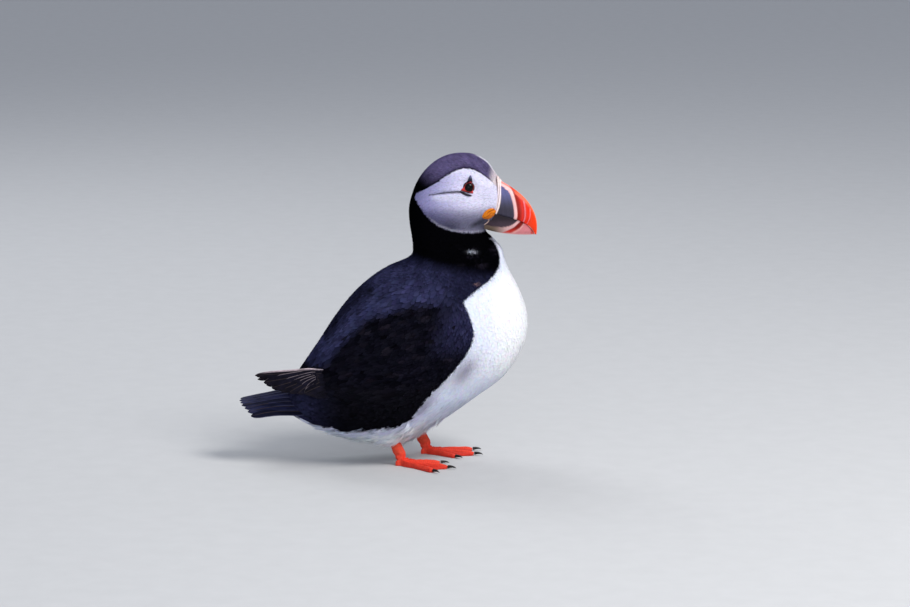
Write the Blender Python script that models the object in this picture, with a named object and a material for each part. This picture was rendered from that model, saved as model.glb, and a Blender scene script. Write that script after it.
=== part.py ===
"""Atlantic puffin (Fratercula arctica) as a still, life-size standing model.

Frame: metres, +Z up, soles on z = 0. The bird faces +X, its right side is -Y. The head is turned
a little to the bird's right. Sizes below are in millimetres and become metres when a mesh is made.
"""

import math

import bmesh
import bpy
from mathutils import Matrix, Vector
from mathutils.bvhtree import BVHTree

MM = 0.001
GAP = 0.3            # clearance between pieces that touch
CUT_MARGIN = 0.34    # how far a cutter stands proud of the piece it makes room for

# Whole bird
HEAD_TURN = math.radians(14)      # towards the bird's right
HEAD_PIVOT = (42.0, 0.0)          # x, y of the upright axis that the head turns about
TWIST_FROM, TWIST_TO = 124.0, 155.0   # heights between which the neck takes up the turn
NECK_TOP = 156.5                  # height of the cut between neck and head
NECK_FOOT = ((17.0, 146.5), (84.0, 131.5))   # x, z of the cut between neck and trunk, nape to breast
SHARP_ANGLE = math.radians(50)    # steeper folds than this are shown as edges

# Mesh fineness
AROUND = 22           # points round a body section
RINGS_PER_SPAN = 2    # sections between one named station and the next

# The body's sections, each from the back line to the front line: back x, z, front x, z, half
# width, and how much narrower the front is than the rear.
STATIONS = {
    "tail_root": (-68.0, 50.0, -65.0, 31.0, 11.0, 0.0),
    "vent": (-58.0, 67.0, -51.0, 22.6, 22.0, 0.0),
    "rump": (-47.5, 82.5, -33.0, 16.0, 31.0, 0.0),
    "flank": (-36.5, 99.5, -12.0, 11.8, 38.0, 0.0),
    "lower_back": (-26.0, 113.0, 10.0, 11.4, 42.0, 0.0),
    "belly": (-14.0, 124.5, 32.0, 24.0, 44.5, 0.02),
    "keel": (-1.0, 133.0, 57.0, 41.5, 45.0, 0.05),
    "mantle": (9.0, 137.2, 79.0, 58.5, 43.5, 0.08),
    "breast": (14.8, 140.8, 91.0, 80.0, 40.5, 0.10),
    "upper_breast": (17.2, 144.2, 94.2, 99.0, 37.0, 0.12),
    "shoulder": (17.2, 148.5, 90.0, 116.5, 33.0, 0.14),
    "neck_base": (17.0, 152.5, 82.8, 131.0, 29.5, 0.14),
    "throat": (15.4, 159.0, 75.0, 147.5, 25.5, 0.16),
    "chin": (14.4, 167.0, 68.6, 158.5, 22.8, 0.22),
    "cheek": (14.3, 175.0, 75.9, 168.5, 21.8, 0.34),
    "face": (16.5, 184.0, 78.6, 179.5, 21.0, 0.38),
    "eye": (19.9, 192.2, 79.0, 190.0, 19.4, 0.36),
    "brow": (25.2, 199.8, 73.0, 199.5, 17.4, 0.30),
    "forehead": (32.4, 206.3, 67.9, 206.5, 14.2, 0.20),
    "crown": (41.0, 210.5, 59.6, 210.8, 8.6, 0.06),
    "crown_top": (50.5, 211.9, 50.6, 211.9, 0.1, 0.0),
}
SECTION_POWER = 2.15      # 2 is an ellipse, more is squarer

# Bill, in the head's own plane (x, z) before the head is turned
FACE_CHIN, FACE_BROW = (72.2, 158.0), (75.6, 198.4)     # the plane where the feathers end
CULMEN = ((77.7, 193.2), (88.5, 186.6), (103.2, 174.5), (102.7, 157.6))
MOUTH = ((75.4, 172.0), (85.0, 168.2), (95.5, 164.4), (101.8, 158.2))
GONYS = ((68.5, 159.6), (77.0, 156.9), (90.0, 156.7), (100.8, 157.6))
CERE_TOP = ((75.9, 197.9), (77.6, 193.8))
CERE_FOOT = ((73.9, 172.9), (75.1, 172.3))
BILL_BASE_HALF, BILL_TIP_HALF = 7.4, 1.5
BILL_TAPER = 1.25                 # how late the bill narrows towards its tip
SECTION_RISE, SECTION_ROUND = 2.4, 0.62     # how flat the sides are and how round the ridge
BILL_RINGS, BILL_SIDE = 9, 6
CERE_SWELL = 0.55                 # how far the cere stands out of the bill's side
LOWER_SLIMMER = 0.45              # how much narrower the lower bill is than the upper
LOWER_TIP_BACK = 0.9              # how far its tip lies behind the upper tip
LOWER_BASE_LEAN = 0.17            # how far its base leans forward, for each unit of height

# Eye
EYE_AT = (59.5, 190.1)
EYE_RADIUS, EYE_ROOM = 4.3, 0.7
EYE_SUNK = 3.3            # from the face's surface to the eyeball's centre
RING_RADIUS, RING_THICK, RING_CORNER = 3.65, 0.6, 0.5
RING_FLATNESS = 0.8       # depth of the ring's section as a share of its width
# Horny plates round the eye: centre along and up from the eye's middle, height, depth in the skin
UPPER_PLATE_AT, UPPER_PLATE_HIGH, UPPER_PLATE_DEEP = (0.5, 6.9), 1.1, 1.0
UPPER_PLATE_OUTLINE = (
    (-2.0, -1.5), (0.0, -1.7), (2.0, -1.5), (1.3, 0.4), (0.5, 2.2), (-0.3, 2.2), (-1.3, 0.4),
)
LOWER_PLATE_AT, LOWER_PLATE_HIGH, LOWER_PLATE_DEEP = (-1.3, -5.7), 0.9, 0.9
LOWER_PLATE_HALVES, LOWER_PLATE_TILT = (3.9, 0.85), math.radians(-17)
# Outline scale and height, from sunk foot to crown, of a domed pad
PAD_FOOT = ((0.8, -1.0), (1.0, -0.3))
PAD_DOME = ((0.93, 0.55), (0.6, 0.9), (0.2, 1.0))

# Gape rosette
ROSETTE_AT = (71.3, 171.9)
ROSETTE_LENGTH, ROSETTE_WIDTH, ROSETTE_HEIGHT = 10.2, 6.0, 2.3
ROSETTE_OUT, ROSETTE_SUNK, ROSETTE_TILT = 1.2, 1.5, math.radians(33)

# Folded wing: x, lower edge z, upper edge z
WING_STATIONS = (
    (59.2, 90.0, 95.0),
    (55.0, 80.5, 106.0),
    (48.0, 70.5, 116.0),
    (36.0, 59.0, 122.5),
    (20.0, 48.5, 124.5),
    (2.0, 45.5, 119.5),
    (-16.0, 46.5, 108.0),
    (-32.0, 47.5, 93.5),
    (-44.0, 48.5, 80.5),
    (-54.0, 49.5, 71.5),
    (-66.0, 51.5, 65.6),
    (-78.0, 55.5, 64.0),
    (-87.0, 59.3, 63.0),
    (-90.8, 60.9, 62.1),
)
WING_PROUD, WING_SUNK = 3.0, 2.2       # mid-wing, out of and into the flank
WING_EDGE_PROUD, WING_EDGE_SUNK = 0.9, 1.1
# The blade's middle line at its tip and at WING_LEAVES_X
WING_TIP_Y, WING_LEAVES_BODY_Y = 15.0, 33.0
WING_LEAVES_X, WING_LEAVES_OVER = -40.0, 25.0
WING_LEAN, WING_LEAN_FROM = 0.35, 56.0          # how far the blade leans in above that height
WING_FACES_UP = 0.25
WING_SLIM, WING_FULLNESS = 0.62, 0.6            # how much thinner the blade is than the arm
WING_ACROSS, WING_STEPS = 6, 20
WING_TIP_DROP = {"right": 0.0, "left": 8.5}      # the left blade lies lower, half under the right
PRIMARIES_CUT = ((-44.0, 68.0), (-37.0, 48.0))   # x, z of the line where the coverts end

# Tail
TAIL_ROOT_X, TAIL_TIP_X = -50.0, -100.8
TAIL_ROOT_Z, TAIL_TIP_Z = 46.0, 41.6
TAIL_ROOT_HALF, TAIL_HALF = 16.5, 20.0
TAIL_ROOT_THICK, TAIL_TIP_THICK = 12.0, 2.4
TAIL_ARCH = 10.5
TAIL_EDGE_SHARE = 0.45            # thickness of the fan's edge as a share of its middle
TAIL_ROUND_FROM, TAIL_ROUNDNESS = 0.62, 0.155
TAIL_ACROSS, TAIL_ALONG = 6, 9

# Legs and feet: where the tarsus meets the toes, and the way the middle toe points
FEET = {"right": ((9.0, -19.5), math.radians(-22)), "left": ((25.5, 20.0), math.radians(-13))}
TOE_LENGTHS = {"inner": 26.0, "middle": 34.0, "outer": 32.5}
TOE_SPREAD = math.radians(25)
TOE_FLANK = math.radians(3.6)     # half a toe's width at its tip, as an angle from the heel
TOE_ROUND, TOE_HEIGHT = 0.8, 3.8
WEB_THICK, WEB_DIP, WEB_COLUMNS = 1.2, 4.5, 3
HEEL_BACK, HEEL_HALF = -2.9, 2.4
RIM_SHARE = 0.66                  # height of the foot's edge, as a share of the height inside it
FOOT_ROWS = 7
KNUCKLE_HEIGHT, KNUCKLE_REACH = 6.4, 5.0
TARSUS_LENGTH, TARSUS_LEAN = 20.0, math.radians(24)
TARSUS_HALF_DEEP, TARSUS_HALF_WIDE = 3.4, 2.3
TARSUS_SWELL = 0.28                 # how much thicker it is at both ends
TARSUS_FOOT_BACK, TARSUS_FOOT_UP = 0.6, 0.15
TARSUS_RINGS, TARSUS_AROUND = 6, 10
CLAW_LENGTH, CLAW_RADIUS, CLAW_TIP = 6.0, 1.25, 0.16
CLAW_BEND, CLAW_CLEAR = 1.1, 0.3
CLAW_RINGS, CLAW_AROUND = 4, 6
THIGH_SIZE = (14.0, 10.5, 14.5)     # half length, half width, half height
THIGH_BACK, THIGH_LEVEL, THIGH_TILT = 8.0, 26.5, math.radians(-18)


# ---------------------------------------------------------------- helpers

def clear_scene():
    for obj in list(bpy.data.objects):
        bpy.data.objects.remove(obj, do_unlink=True)


def material(name, colour, roughness, metallic=0.0):
    made = bpy.data.materials.new(name)
    made.use_nodes = True
    shader = made.node_tree.nodes["Principled BSDF"]
    shader.inputs["Base Color"].default_value = (*colour, 1.0)
    shader.inputs["Roughness"].default_value = roughness
    shader.inputs["Metallic"].default_value = metallic
    return made


def in_triangles(mesh):
    """Fixes each face's diagonal, so that a piece and the cutter grown from it agree."""
    work = bmesh.new()
    work.from_mesh(mesh)
    bmesh.ops.triangulate(work, faces=work.faces)
    work.to_mesh(mesh)
    work.free()


def add_object(name, mesh, look, parent=None):
    in_triangles(mesh)
    obj = bpy.data.objects.new(name, mesh)
    bpy.context.scene.collection.objects.link(obj)
    mesh.materials.append(look)
    mesh.shade_smooth()
    mesh.set_sharp_from_angle(angle=SHARP_ANGLE)
    if parent is not None:
        obj.parent = parent
    return obj


def mesh_from(name, points, faces):
    """A mesh from points in millimetres, with its faces made to point out."""
    mesh = bpy.data.meshes.new(name)
    mesh.from_pydata([tuple(c * MM for c in p) for p in points], [], faces)
    work = bmesh.new()
    work.from_mesh(mesh)
    bmesh.ops.recalc_face_normals(work, faces=work.faces)
    if work.calc_volume(signed=True) < 0:
        bmesh.ops.reverse_faces(work, faces=work.faces)
    work.to_mesh(mesh)
    work.free()
    return mesh


def tube_mesh(name, rings):
    """A closed skin over rings of equal point counts, with a flat cap at each end."""
    count = len(rings[0])
    points = [p for ring in rings for p in ring]
    faces = []
    for r in range(len(rings) - 1):
        for i in range(count):
            j = (i + 1) % count
            faces.append((r * count + i, r * count + j, (r + 1) * count + j, (r + 1) * count + i))
    faces.append(tuple(reversed(range(count))))
    last = (len(rings) - 1) * count
    faces.append(tuple(last + i for i in range(count)))
    return mesh_from(name, points, faces)


def smooth_row(rows, at):
    """The row at a fractional index, on a Catmull-Rom curve through all rows."""
    low = min(int(at), len(rows) - 2)
    f = at - low
    near = [rows[min(max(low + k, 0), len(rows) - 1)] for k in (-1, 0, 1, 2)]
    weights = (
        (-f + 2 * f**2 - f**3) / 2,
        (2 - 5 * f**2 + 3 * f**3) / 2,
        (f + 4 * f**2 - 3 * f**3) / 2,
        (-(f**2) + f**3) / 2,
    )
    return [sum(w * value for w, value in zip(weights, column)) for column in zip(*near)]


def bezier(corners, f):
    weights = ((1 - f) ** 3, 3 * f * (1 - f) ** 2, 3 * f * f * (1 - f), f ** 3)
    return tuple(sum(w * c[k] for w, c in zip(weights, corners)) for k in (0, 1))


def blend(a, b, f):
    return a + (b - a) * f


def ease(f):
    f = min(max(f, 0.0), 1.0)
    return f * f * (3 - 2 * f)


def power_sign(value, power):
    return math.copysign(abs(value) ** power, value)


def cut_away(mesh, point, normal):
    """Removes what lies on the normal's side of a plane and closes the cut."""
    work = bmesh.new()
    work.from_mesh(mesh)
    result = bmesh.ops.bisect_plane(
        work,
        geom=work.verts[:] + work.edges[:] + work.faces[:],
        dist=1e-7,
        plane_co=Vector(point) * MM,
        plane_no=Vector(normal),
        clear_outer=True,
    )
    rim = [e for e in result["geom_cut"] if isinstance(e, bmesh.types.BMEdge)]
    bmesh.ops.holes_fill(work, edges=rim, sides=0)
    bmesh.ops.recalc_face_normals(work, faces=work.faces)
    work.to_mesh(mesh)
    work.free()


def make_room(obj, piece, margin=CUT_MARGIN):
    """Cuts a pocket in obj for piece, wider than it by the margin."""
    cutter = bpy.data.objects.new("room_for_" + piece.name + "_in_" + obj.name, piece.data.copy())
    bpy.context.scene.collection.objects.link(cutter)
    cutter.parent = piece.parent
    work = bmesh.new()
    work.from_mesh(cutter.data)
    work.normal_update()
    moves = [(v, v.normal * (margin * MM * v.calc_shell_factor())) for v in work.verts]
    for vert, move in moves:
        vert.co += move
    work.to_mesh(cutter.data)
    work.free()
    cutter.hide_render = True
    cutter.display_type = "WIRE"
    boolean = obj.modifiers.new("room_for_" + piece.name, "BOOLEAN")
    boolean.operation = "DIFFERENCE"
    boolean.solver = "EXACT"
    boolean.object = cutter


# ---------------------------------------------------------------- trunk, neck, head

def turned(point, share):
    """A point swung about the head's upright axis by a share of the head's turn."""
    angle = -HEAD_TURN * share
    dx, dy = point[0] - HEAD_PIVOT[0], point[1] - HEAD_PIVOT[1]
    x = HEAD_PIVOT[0] + dx * math.cos(angle) - dy * math.sin(angle)
    y = HEAD_PIVOT[1] + dx * math.sin(angle) + dy * math.cos(angle)
    return (x, y, point[2])


def body_ring(at, twisted):
    """The body's section at a fractional row of the stations."""
    back_x, back_z, front_x, front_z, half, narrow = smooth_row(list(STATIONS.values()), at)
    ring = []
    for i in range(AROUND):
        angle = 2 * math.pi * i / AROUND
        along = power_sign(math.cos(angle), 2 / SECTION_POWER)
        across = power_sign(math.sin(angle), 2 / SECTION_POWER)
        x = blend(back_x, front_x, 0.5 + 0.5 * along)
        z = blend(back_z, front_z, 0.5 + 0.5 * along)
        point = (x, half * across * (1 - narrow * along), z)
        if twisted:
            point = turned(point, ease((z - TWIST_FROM) / (TWIST_TO - TWIST_FROM)))
        ring.append(point)
    return ring


def body_length(name, first, last, twisted):
    """A closed length of the body between two named stations."""
    names = list(STATIONS)
    start, end = names.index(first), names.index(last)
    steps = (end - start) * RINGS_PER_SPAN
    rings = [body_ring(start + k / RINGS_PER_SPAN, twisted) for k in range(steps + 1)]
    return tube_mesh(name, rings)


def neck_foot_plane():
    (nape_x, nape_z), (front_x, front_z) = NECK_FOOT
    normal = Vector((nape_z - front_z, 0, front_x - nape_x)).normalized()
    return Vector((nape_x, 0, nape_z)), normal


def make_trunk(look):
    mesh = body_length("trunk", "tail_root", "throat", True)
    point, normal = neck_foot_plane()
    cut_away(mesh, point - normal * GAP / 2, normal)
    return add_object("trunk", mesh, look)


def make_neck(look):
    mesh = body_length("neck", "upper_breast", "face", True)
    point, normal = neck_foot_plane()
    cut_away(mesh, point + normal * GAP / 2, -normal)
    cut_away(mesh, (0, 0, NECK_TOP - GAP / 2), (0, 0, 1))
    return add_object("neck", mesh, look)


def face_normal():
    (chin_x, chin_z), (brow_x, brow_z) = FACE_CHIN, FACE_BROW
    return Vector((brow_z - chin_z, 0, chin_x - brow_x)).normalized()


def make_head(look, pose):
    mesh = body_length("head", "throat", "crown_top", False)
    cut_away(mesh, (0, 0, NECK_TOP + GAP / 2), (0, 0, -1))
    cut_away(mesh, (FACE_CHIN[0], 0, FACE_CHIN[1]), face_normal())
    return add_object("head", mesh, look, pose)


# ---------------------------------------------------------------- bill

def bill_half(f):
    return blend(BILL_BASE_HALF, BILL_TIP_HALF, f**BILL_TAPER)


def bill_ring(mouth, edge, half):
    """A section from the mouth line, half wide, to a rounded ridge at edge."""
    ring = []
    for side in (-1, 1):
        heights = [k / BILL_SIDE for k in range(BILL_SIDE + 1)]
        if side > 0:
            heights = heights[::-1][1:]
        for h in heights:
            rise = math.sin(h * math.pi / 2)
            y = side * half * max(1 - rise**SECTION_RISE, 0) ** SECTION_ROUND
            ring.append((blend(mouth[0], edge[0], rise), y, blend(mouth[1], edge[1], rise)))
    return ring


def make_upper_bill(look, pose):
    rings = []
    for k in range(BILL_RINGS + 1):
        f = k / BILL_RINGS
        rings.append(bill_ring(bezier(MOUTH, f), bezier(CULMEN, f), bill_half(f)))
    return add_object("bill_upper", tube_mesh("bill_upper", rings), look, pose)


def make_cere(look, pose):
    """The fleshy band round the base of the upper bill."""
    rings = []
    for f in (0.0, 0.35, 0.7, 1.0):
        foot = tuple(blend(CERE_FOOT[0][k], CERE_FOOT[1][k], f) for k in (0, 1))
        top = tuple(blend(CERE_TOP[0][k], CERE_TOP[1][k], f) for k in (0, 1))
        swell = CERE_SWELL * math.sin(math.pi * (0.2 + 0.6 * f))
        rings.append(bill_ring(foot, top, BILL_BASE_HALF + swell))
    return add_object("cere", tube_mesh("cere", rings), look, pose)


def make_lower_bill(look, pose):
    """The lower bill, whose base reaches further back than the upper's, under the gape."""
    rings = []
    slope = (MOUTH[1][1] - MOUTH[0][1]) / (MOUTH[1][0] - MOUTH[0][0])
    back = GONYS[0][0] - MOUTH[0][0] + (MOUTH[0][1] - GONYS[0][1]) * LOWER_BASE_LEAN
    for k in range(BILL_RINGS + 1):
        f = k / BILL_RINGS
        line = bezier(MOUTH, f)
        pull = (1 - f) ** 2
        top_x = line[0] + back * pull - LOWER_TIP_BACK * f
        top_z = line[1] + (back * slope - GAP) * pull - GAP
        rings.append(bill_ring((top_x, top_z), bezier(GONYS, f), bill_half(f) - LOWER_SLIMMER))
    return add_object("bill_lower", tube_mesh("bill_lower", rings), look, pose)


# ---------------------------------------------------------------- surface fittings on the head

def surface_tree(obj):
    graph = bpy.context.evaluated_depsgraph_get()
    return BVHTree.FromObject(obj, graph)


def side_hit(tree, x, z, side):
    """Where a line along Y from outside meets a surface: the point in millimetres and its normal."""
    far = 200.0 * MM
    hit, normal, _, _ = tree.ray_cast(Vector((x * MM, side * far, z * MM)), Vector((0, -side, 0)))
    if hit is None:
        return None
    return hit / MM, normal


def tangent_frame(normal, tilt=0.0):
    """Unit vectors along and up in the plane that the normal stands on, tilted about the normal."""
    forward = Vector((1, 0, 0))
    along = (forward - normal * forward.dot(normal)).normalized()
    up = normal.cross(along)
    if up.z < 0:
        up = -up
    turned_along = along * math.cos(tilt) + up * math.sin(tilt)
    turned_up = up * math.cos(tilt) - along * math.sin(tilt)
    return turned_along, turned_up


def pad_mesh(name, centre, normal, outline, height, sunk, tilt=0.0):
    """A domed pad over a closed outline (list of along, up), standing on the plane at centre."""
    along, up = tangent_frame(normal, tilt)
    layers = [(scale, share * sunk) for scale, share in PAD_FOOT]
    layers += [(scale, share * height) for scale, share in PAD_DOME]
    rings = []
    for scale, lift in layers:
        ring = []
        for a, b in outline:
            ring.append(tuple(centre + along * a * scale + up * b * scale + normal * lift))
        rings.append(ring)
    return tube_mesh(name, rings)


def ellipse(half_long, half_wide, count):
    steps = [2 * math.pi * k / count for k in range(count)]
    return [(half_long * math.cos(a), half_wide * math.sin(a)) for a in steps]


def sphere_mesh(name, centre, axis, radius, rings, around):
    """A ball whose poles lie on the axis."""
    turn = axis.to_track_quat("Z", "Y").to_matrix().to_4x4()
    work = bmesh.new()
    bmesh.ops.create_uvsphere(work, u_segments=around, v_segments=rings, radius=radius * MM)
    bmesh.ops.transform(work, matrix=Matrix.Translation(centre * MM) @ turn, verts=work.verts)
    mesh = bpy.data.meshes.new(name)
    work.to_mesh(mesh)
    work.free()
    return mesh


def ring_mesh(name, centre, normal, radius, thick, around=12, section=5):
    """A closed hoop, pulled out a little to the rear and front below so that it is three-cornered."""
    along, up = tangent_frame(normal)
    points, faces = [], []
    for i in range(around):
        a = 2 * math.pi * i / around
        spread = radius + RING_CORNER * (0.5 + 0.5 * math.cos(3 * (a - math.pi / 2)))
        out = along * math.cos(a) + up * math.sin(a)
        for j in range(section):
            b = 2 * math.pi * j / section
            lift = thick * RING_FLATNESS * math.sin(b)
            points.append(tuple(centre + out * (spread + thick * math.cos(b)) + normal * lift))
    for i in range(around):
        for j in range(section):
            i2, j2 = (i + 1) % around, (j + 1) % section
            faces.append((i * section + j, i2 * section + j, i2 * section + j2, i * section + j2))
    return mesh_from(name, points, faces)


def eye_plate(name, eye_point, axes, at, outline, height, sunk, tilt, tree, side):
    """A horny plate on the face, at a place along and up from the eye's middle."""
    along, up = axes
    centre = eye_point + along * at[0] + up * at[1]
    normal = side_hit(tree, centre.x, centre.z, side)[1]
    return pad_mesh(name, centre, normal, outline, height, sunk, tilt)


def make_eye(side_name, side, tree, looks, pose):
    """The eyeball, the ring round it and the plates above and below."""
    point, normal = side_hit(tree, EYE_AT[0], EYE_AT[1], side)
    centre = point - normal * EYE_SUNK
    axes = tangent_frame(normal)
    ball = sphere_mesh("eye_" + side_name, centre, normal, EYE_RADIUS, 7, 11)
    ring = ring_mesh("eye_ring_" + side_name, point, normal, RING_RADIUS, RING_THICK)
    upper = eye_plate(
        "eye_plate_upper_" + side_name, point, axes, UPPER_PLATE_AT, UPPER_PLATE_OUTLINE,
        UPPER_PLATE_HIGH, UPPER_PLATE_DEEP, 0.0, tree, side,
    )
    lower = eye_plate(
        "eye_plate_lower_" + side_name, point, axes, LOWER_PLATE_AT, ellipse(*LOWER_PLATE_HALVES, 10),
        LOWER_PLATE_HIGH, LOWER_PLATE_DEEP, LOWER_PLATE_TILT, tree, side,
    )
    return [
        add_object(ball.name, ball, looks["eye"], pose),
        add_object(ring.name, ring, looks["eye_ring"], pose),
        add_object(upper.name, upper, looks["eye_plate"], pose),
        add_object(lower.name, lower, looks["eye_plate"], pose),
    ]


def make_rosette(side_name, side, tree, look, pose):
    """The oval of wrinkled skin at the corner of the mouth."""
    _, normal = side_hit(tree, ROSETTE_AT[0] - ROSETTE_LENGTH / 4, ROSETTE_AT[1], side)
    centre = Vector((ROSETTE_AT[0], side * (BILL_BASE_HALF + ROSETTE_OUT), ROSETTE_AT[1]))
    lean = (normal + Vector((0, side, 0))).normalized()
    outline = ellipse(ROSETTE_LENGTH / 2, ROSETTE_WIDTH / 2, 12)
    name = "rosette_" + side_name
    mesh = pad_mesh(name, centre, lean, outline, ROSETTE_HEIGHT, ROSETTE_SUNK, ROSETTE_TILT)
    return add_object(name, mesh, look, pose)


# ---------------------------------------------------------------- wings

def wing_edges(at):
    return smooth_row(WING_STATIONS, at)


def wing_side(tree, x, z, side):
    """A point on the line that the folded wing follows, and the way out from it."""
    away = ease((WING_LEAVES_X - x) / WING_LEAVES_OVER)
    f = (x - WING_LEAVES_X) / (WING_STATIONS[-1][0] - WING_LEAVES_X)
    lean = WING_LEAN * (z - WING_LEAN_FROM) * (1 - 0.6 * f)
    free_y = blend(WING_LEAVES_BODY_Y, WING_TIP_Y, f) - lean
    free_out = Vector((0, side, WING_FACES_UP))
    found = side_hit(tree, x, z, side)
    if found is None:
        return Vector((x, side * free_y, z)), free_out.normalized()
    point, normal = found
    y = blend(side * point.y, free_y, away)
    out = (normal * (1 - away) + free_out * away).normalized()
    return Vector((x, side * y, z)), out


def wing_mesh(name, side_name, side, tree):
    """The whole folded wing, from the wrist to the tip of the blade."""
    rings = []
    spans = len(WING_STATIONS) - 1
    for k in range(WING_STEPS + 1):
        x, low, high = wing_edges(k * spans / WING_STEPS)
        drop = WING_TIP_DROP[side_name] * ease((WING_LEAVES_X + 8 - x) / 26)
        low, high = low - drop * blend(0.45, 1.0, ease((-58 - x) / 28)), high - drop
        outer, inner = [], []
        for j in range(WING_ACROSS + 1):
            f = 0.5 - 0.5 * math.cos(math.pi * j / WING_ACROSS)
            point, out = wing_side(tree, x, blend(low, high, f), side)
            fullness = (4 * f * (1 - f)) ** WING_FULLNESS
            slim = 1 - WING_SLIM * ease((WING_LEAVES_X + 4 - x) / 30)
            proud = blend(WING_EDGE_PROUD, WING_PROUD, fullness) * slim
            sunk = blend(WING_EDGE_SUNK, WING_SUNK, fullness) * slim
            outer.append(tuple(point + out * proud))
            inner.append(tuple(point - out * sunk))
        rings.append(outer + inner[::-1])
    return tube_mesh(name, rings)


def make_wing(side_name, side, tree, looks):
    """The arm with its coverts, and the primaries behind the line where the coverts end."""
    (top_x, top_z), (foot_x, foot_z) = PRIMARIES_CUT
    normal = Vector((top_z - foot_z, 0, foot_x - top_x)).normalized()
    point = Vector((top_x, 0, top_z))
    arm = wing_mesh("wing_" + side_name, side_name, side, tree)
    cut_away(arm, point + normal * GAP / 2, -normal)
    blade = wing_mesh("primaries_" + side_name, side_name, side, tree)
    cut_away(blade, point - normal * GAP / 2, normal)
    return [
        add_object(arm.name, arm, looks["wing"]),
        add_object(blade.name, blade, looks["primaries"]),
    ]


# ---------------------------------------------------------------- tail

def tail_half(f):
    """Half width of the fan, closing in a round end."""
    half = blend(TAIL_ROOT_HALF, TAIL_HALF, ease(f / 0.7))
    return half * max(1 - max(f - TAIL_ROUND_FROM, 0) ** 2 / TAIL_ROUNDNESS, 0.0) ** 0.5


def make_tail(look):
    """The fan of tail feathers, arched across."""
    rings = []
    for k in range(TAIL_ALONG + 1):
        f = math.sin(k / TAIL_ALONG * math.pi / 2 * 0.985)
        half = max(tail_half(f), 2.0)
        x = blend(TAIL_ROOT_X, TAIL_TIP_X, f)
        middle = blend(TAIL_ROOT_Z, TAIL_TIP_Z, f)
        thick = blend(TAIL_ROOT_THICK, TAIL_TIP_THICK, ease(f * 1.3))
        top, foot = [], []
        for j in range(TAIL_ACROSS + 1):
            g = -math.cos(math.pi * j / TAIL_ACROSS)
            drop = TAIL_ARCH * (g * half / TAIL_HALF) ** 2
            edge = thick * blend(1.0, TAIL_EDGE_SHARE, g * g) / 2
            top.append((x, g * half, middle - drop + edge))
            foot.append((x, g * half, middle - drop - edge))
        rings.append(top + foot[::-1])
    return add_object("tail", tube_mesh("tail", rings), look)


# ---------------------------------------------------------------- legs and feet

def foot_frame(side_name):
    (x, y), heading = FEET[side_name]
    return Matrix.Translation((x, y, 0)) @ Matrix.Rotation(heading, 4, "Z")


def toe_angles(side_name):
    outward = 1 if side_name == "left" else -1
    return {"inner": -outward * TOE_SPREAD, "middle": 0.0, "outer": outward * TOE_SPREAD}


def foot_columns(toes):
    """Directions across the foot, with the length there: three on each toe and a few on each web."""
    spots = sorted((toes[name], TOE_LENGTHS[name]) for name in toes)
    columns = []
    for k, (angle, length) in enumerate(spots):
        if k:
            last_angle, last_length = spots[k - 1]
            for j in range(1, WEB_COLUMNS + 1):
                f = j / (WEB_COLUMNS + 1)
                reach = blend(last_length, length, f) - WEB_DIP * (0.4 + 0.6 * math.sin(math.pi * f))
                columns.append((blend(last_angle + TOE_FLANK, angle - TOE_FLANK, f), reach, 0.0))
        columns.append((angle - TOE_FLANK, length - TOE_ROUND, 0.45))
        columns.append((angle, length, 1.0))
        columns.append((angle + TOE_FLANK, length - TOE_ROUND, 0.45))
    return columns


def make_foot(side_name, look):
    """Toes as ridges on one webbed plate with a flat sole."""
    place = foot_frame(side_name)
    columns = foot_columns(toe_angles(side_name))
    top, sole = [], []
    for r in range(FOOT_ROWS + 1):
        f = r / FOOT_ROWS
        for c, (angle, length, ridge) in enumerate(columns):
            reach = blend(HEEL_BACK, length, f) if r else HEEL_BACK * math.cos(angle)
            fan = angle * blend(2.0, 1.0, ease(f * 2.0))
            x = reach * (math.cos(fan) if r else 1.0)
            y = abs(reach) * math.sin(fan) + HEEL_HALF * math.sin(fan)
            height = blend(WEB_THICK, TOE_HEIGHT * (1 - 0.3 * f), ridge)
            height += (KNUCKLE_HEIGHT - TOE_HEIGHT) * math.exp(-((reach / KNUCKLE_REACH) ** 2))
            if r == 0 or r == FOOT_ROWS or c in (0, len(columns) - 1):
                height *= RIM_SHARE
            top.append(tuple(place @ Vector((x, y, height))))
            sole.append(tuple(place @ Vector((x, y, 0.0))))
    wide = len(columns)
    faces = []
    for r in range(FOOT_ROWS):
        for c in range(wide - 1):
            a = r * wide + c
            faces.append((a, a + 1, a + wide + 1, a + wide))
    rim = list(range(wide))
    rim += [r * wide + wide - 1 for r in range(1, FOOT_ROWS)]
    rim += [FOOT_ROWS * wide + c for c in range(wide - 1, -1, -1)]
    rim += [r * wide for r in range(FOOT_ROWS - 1, 0, -1)]
    under = {a: len(top) + k for k, a in enumerate(rim)}
    for k, a in enumerate(rim):
        b = rim[(k + 1) % len(rim)]
        faces.append((a, b, under[b], under[a]))
    faces.append(tuple(under[a] for a in rim))
    mesh = mesh_from("foot_" + side_name, top + [sole[a] for a in rim], faces)
    return add_object(mesh.name, mesh, look)


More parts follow.
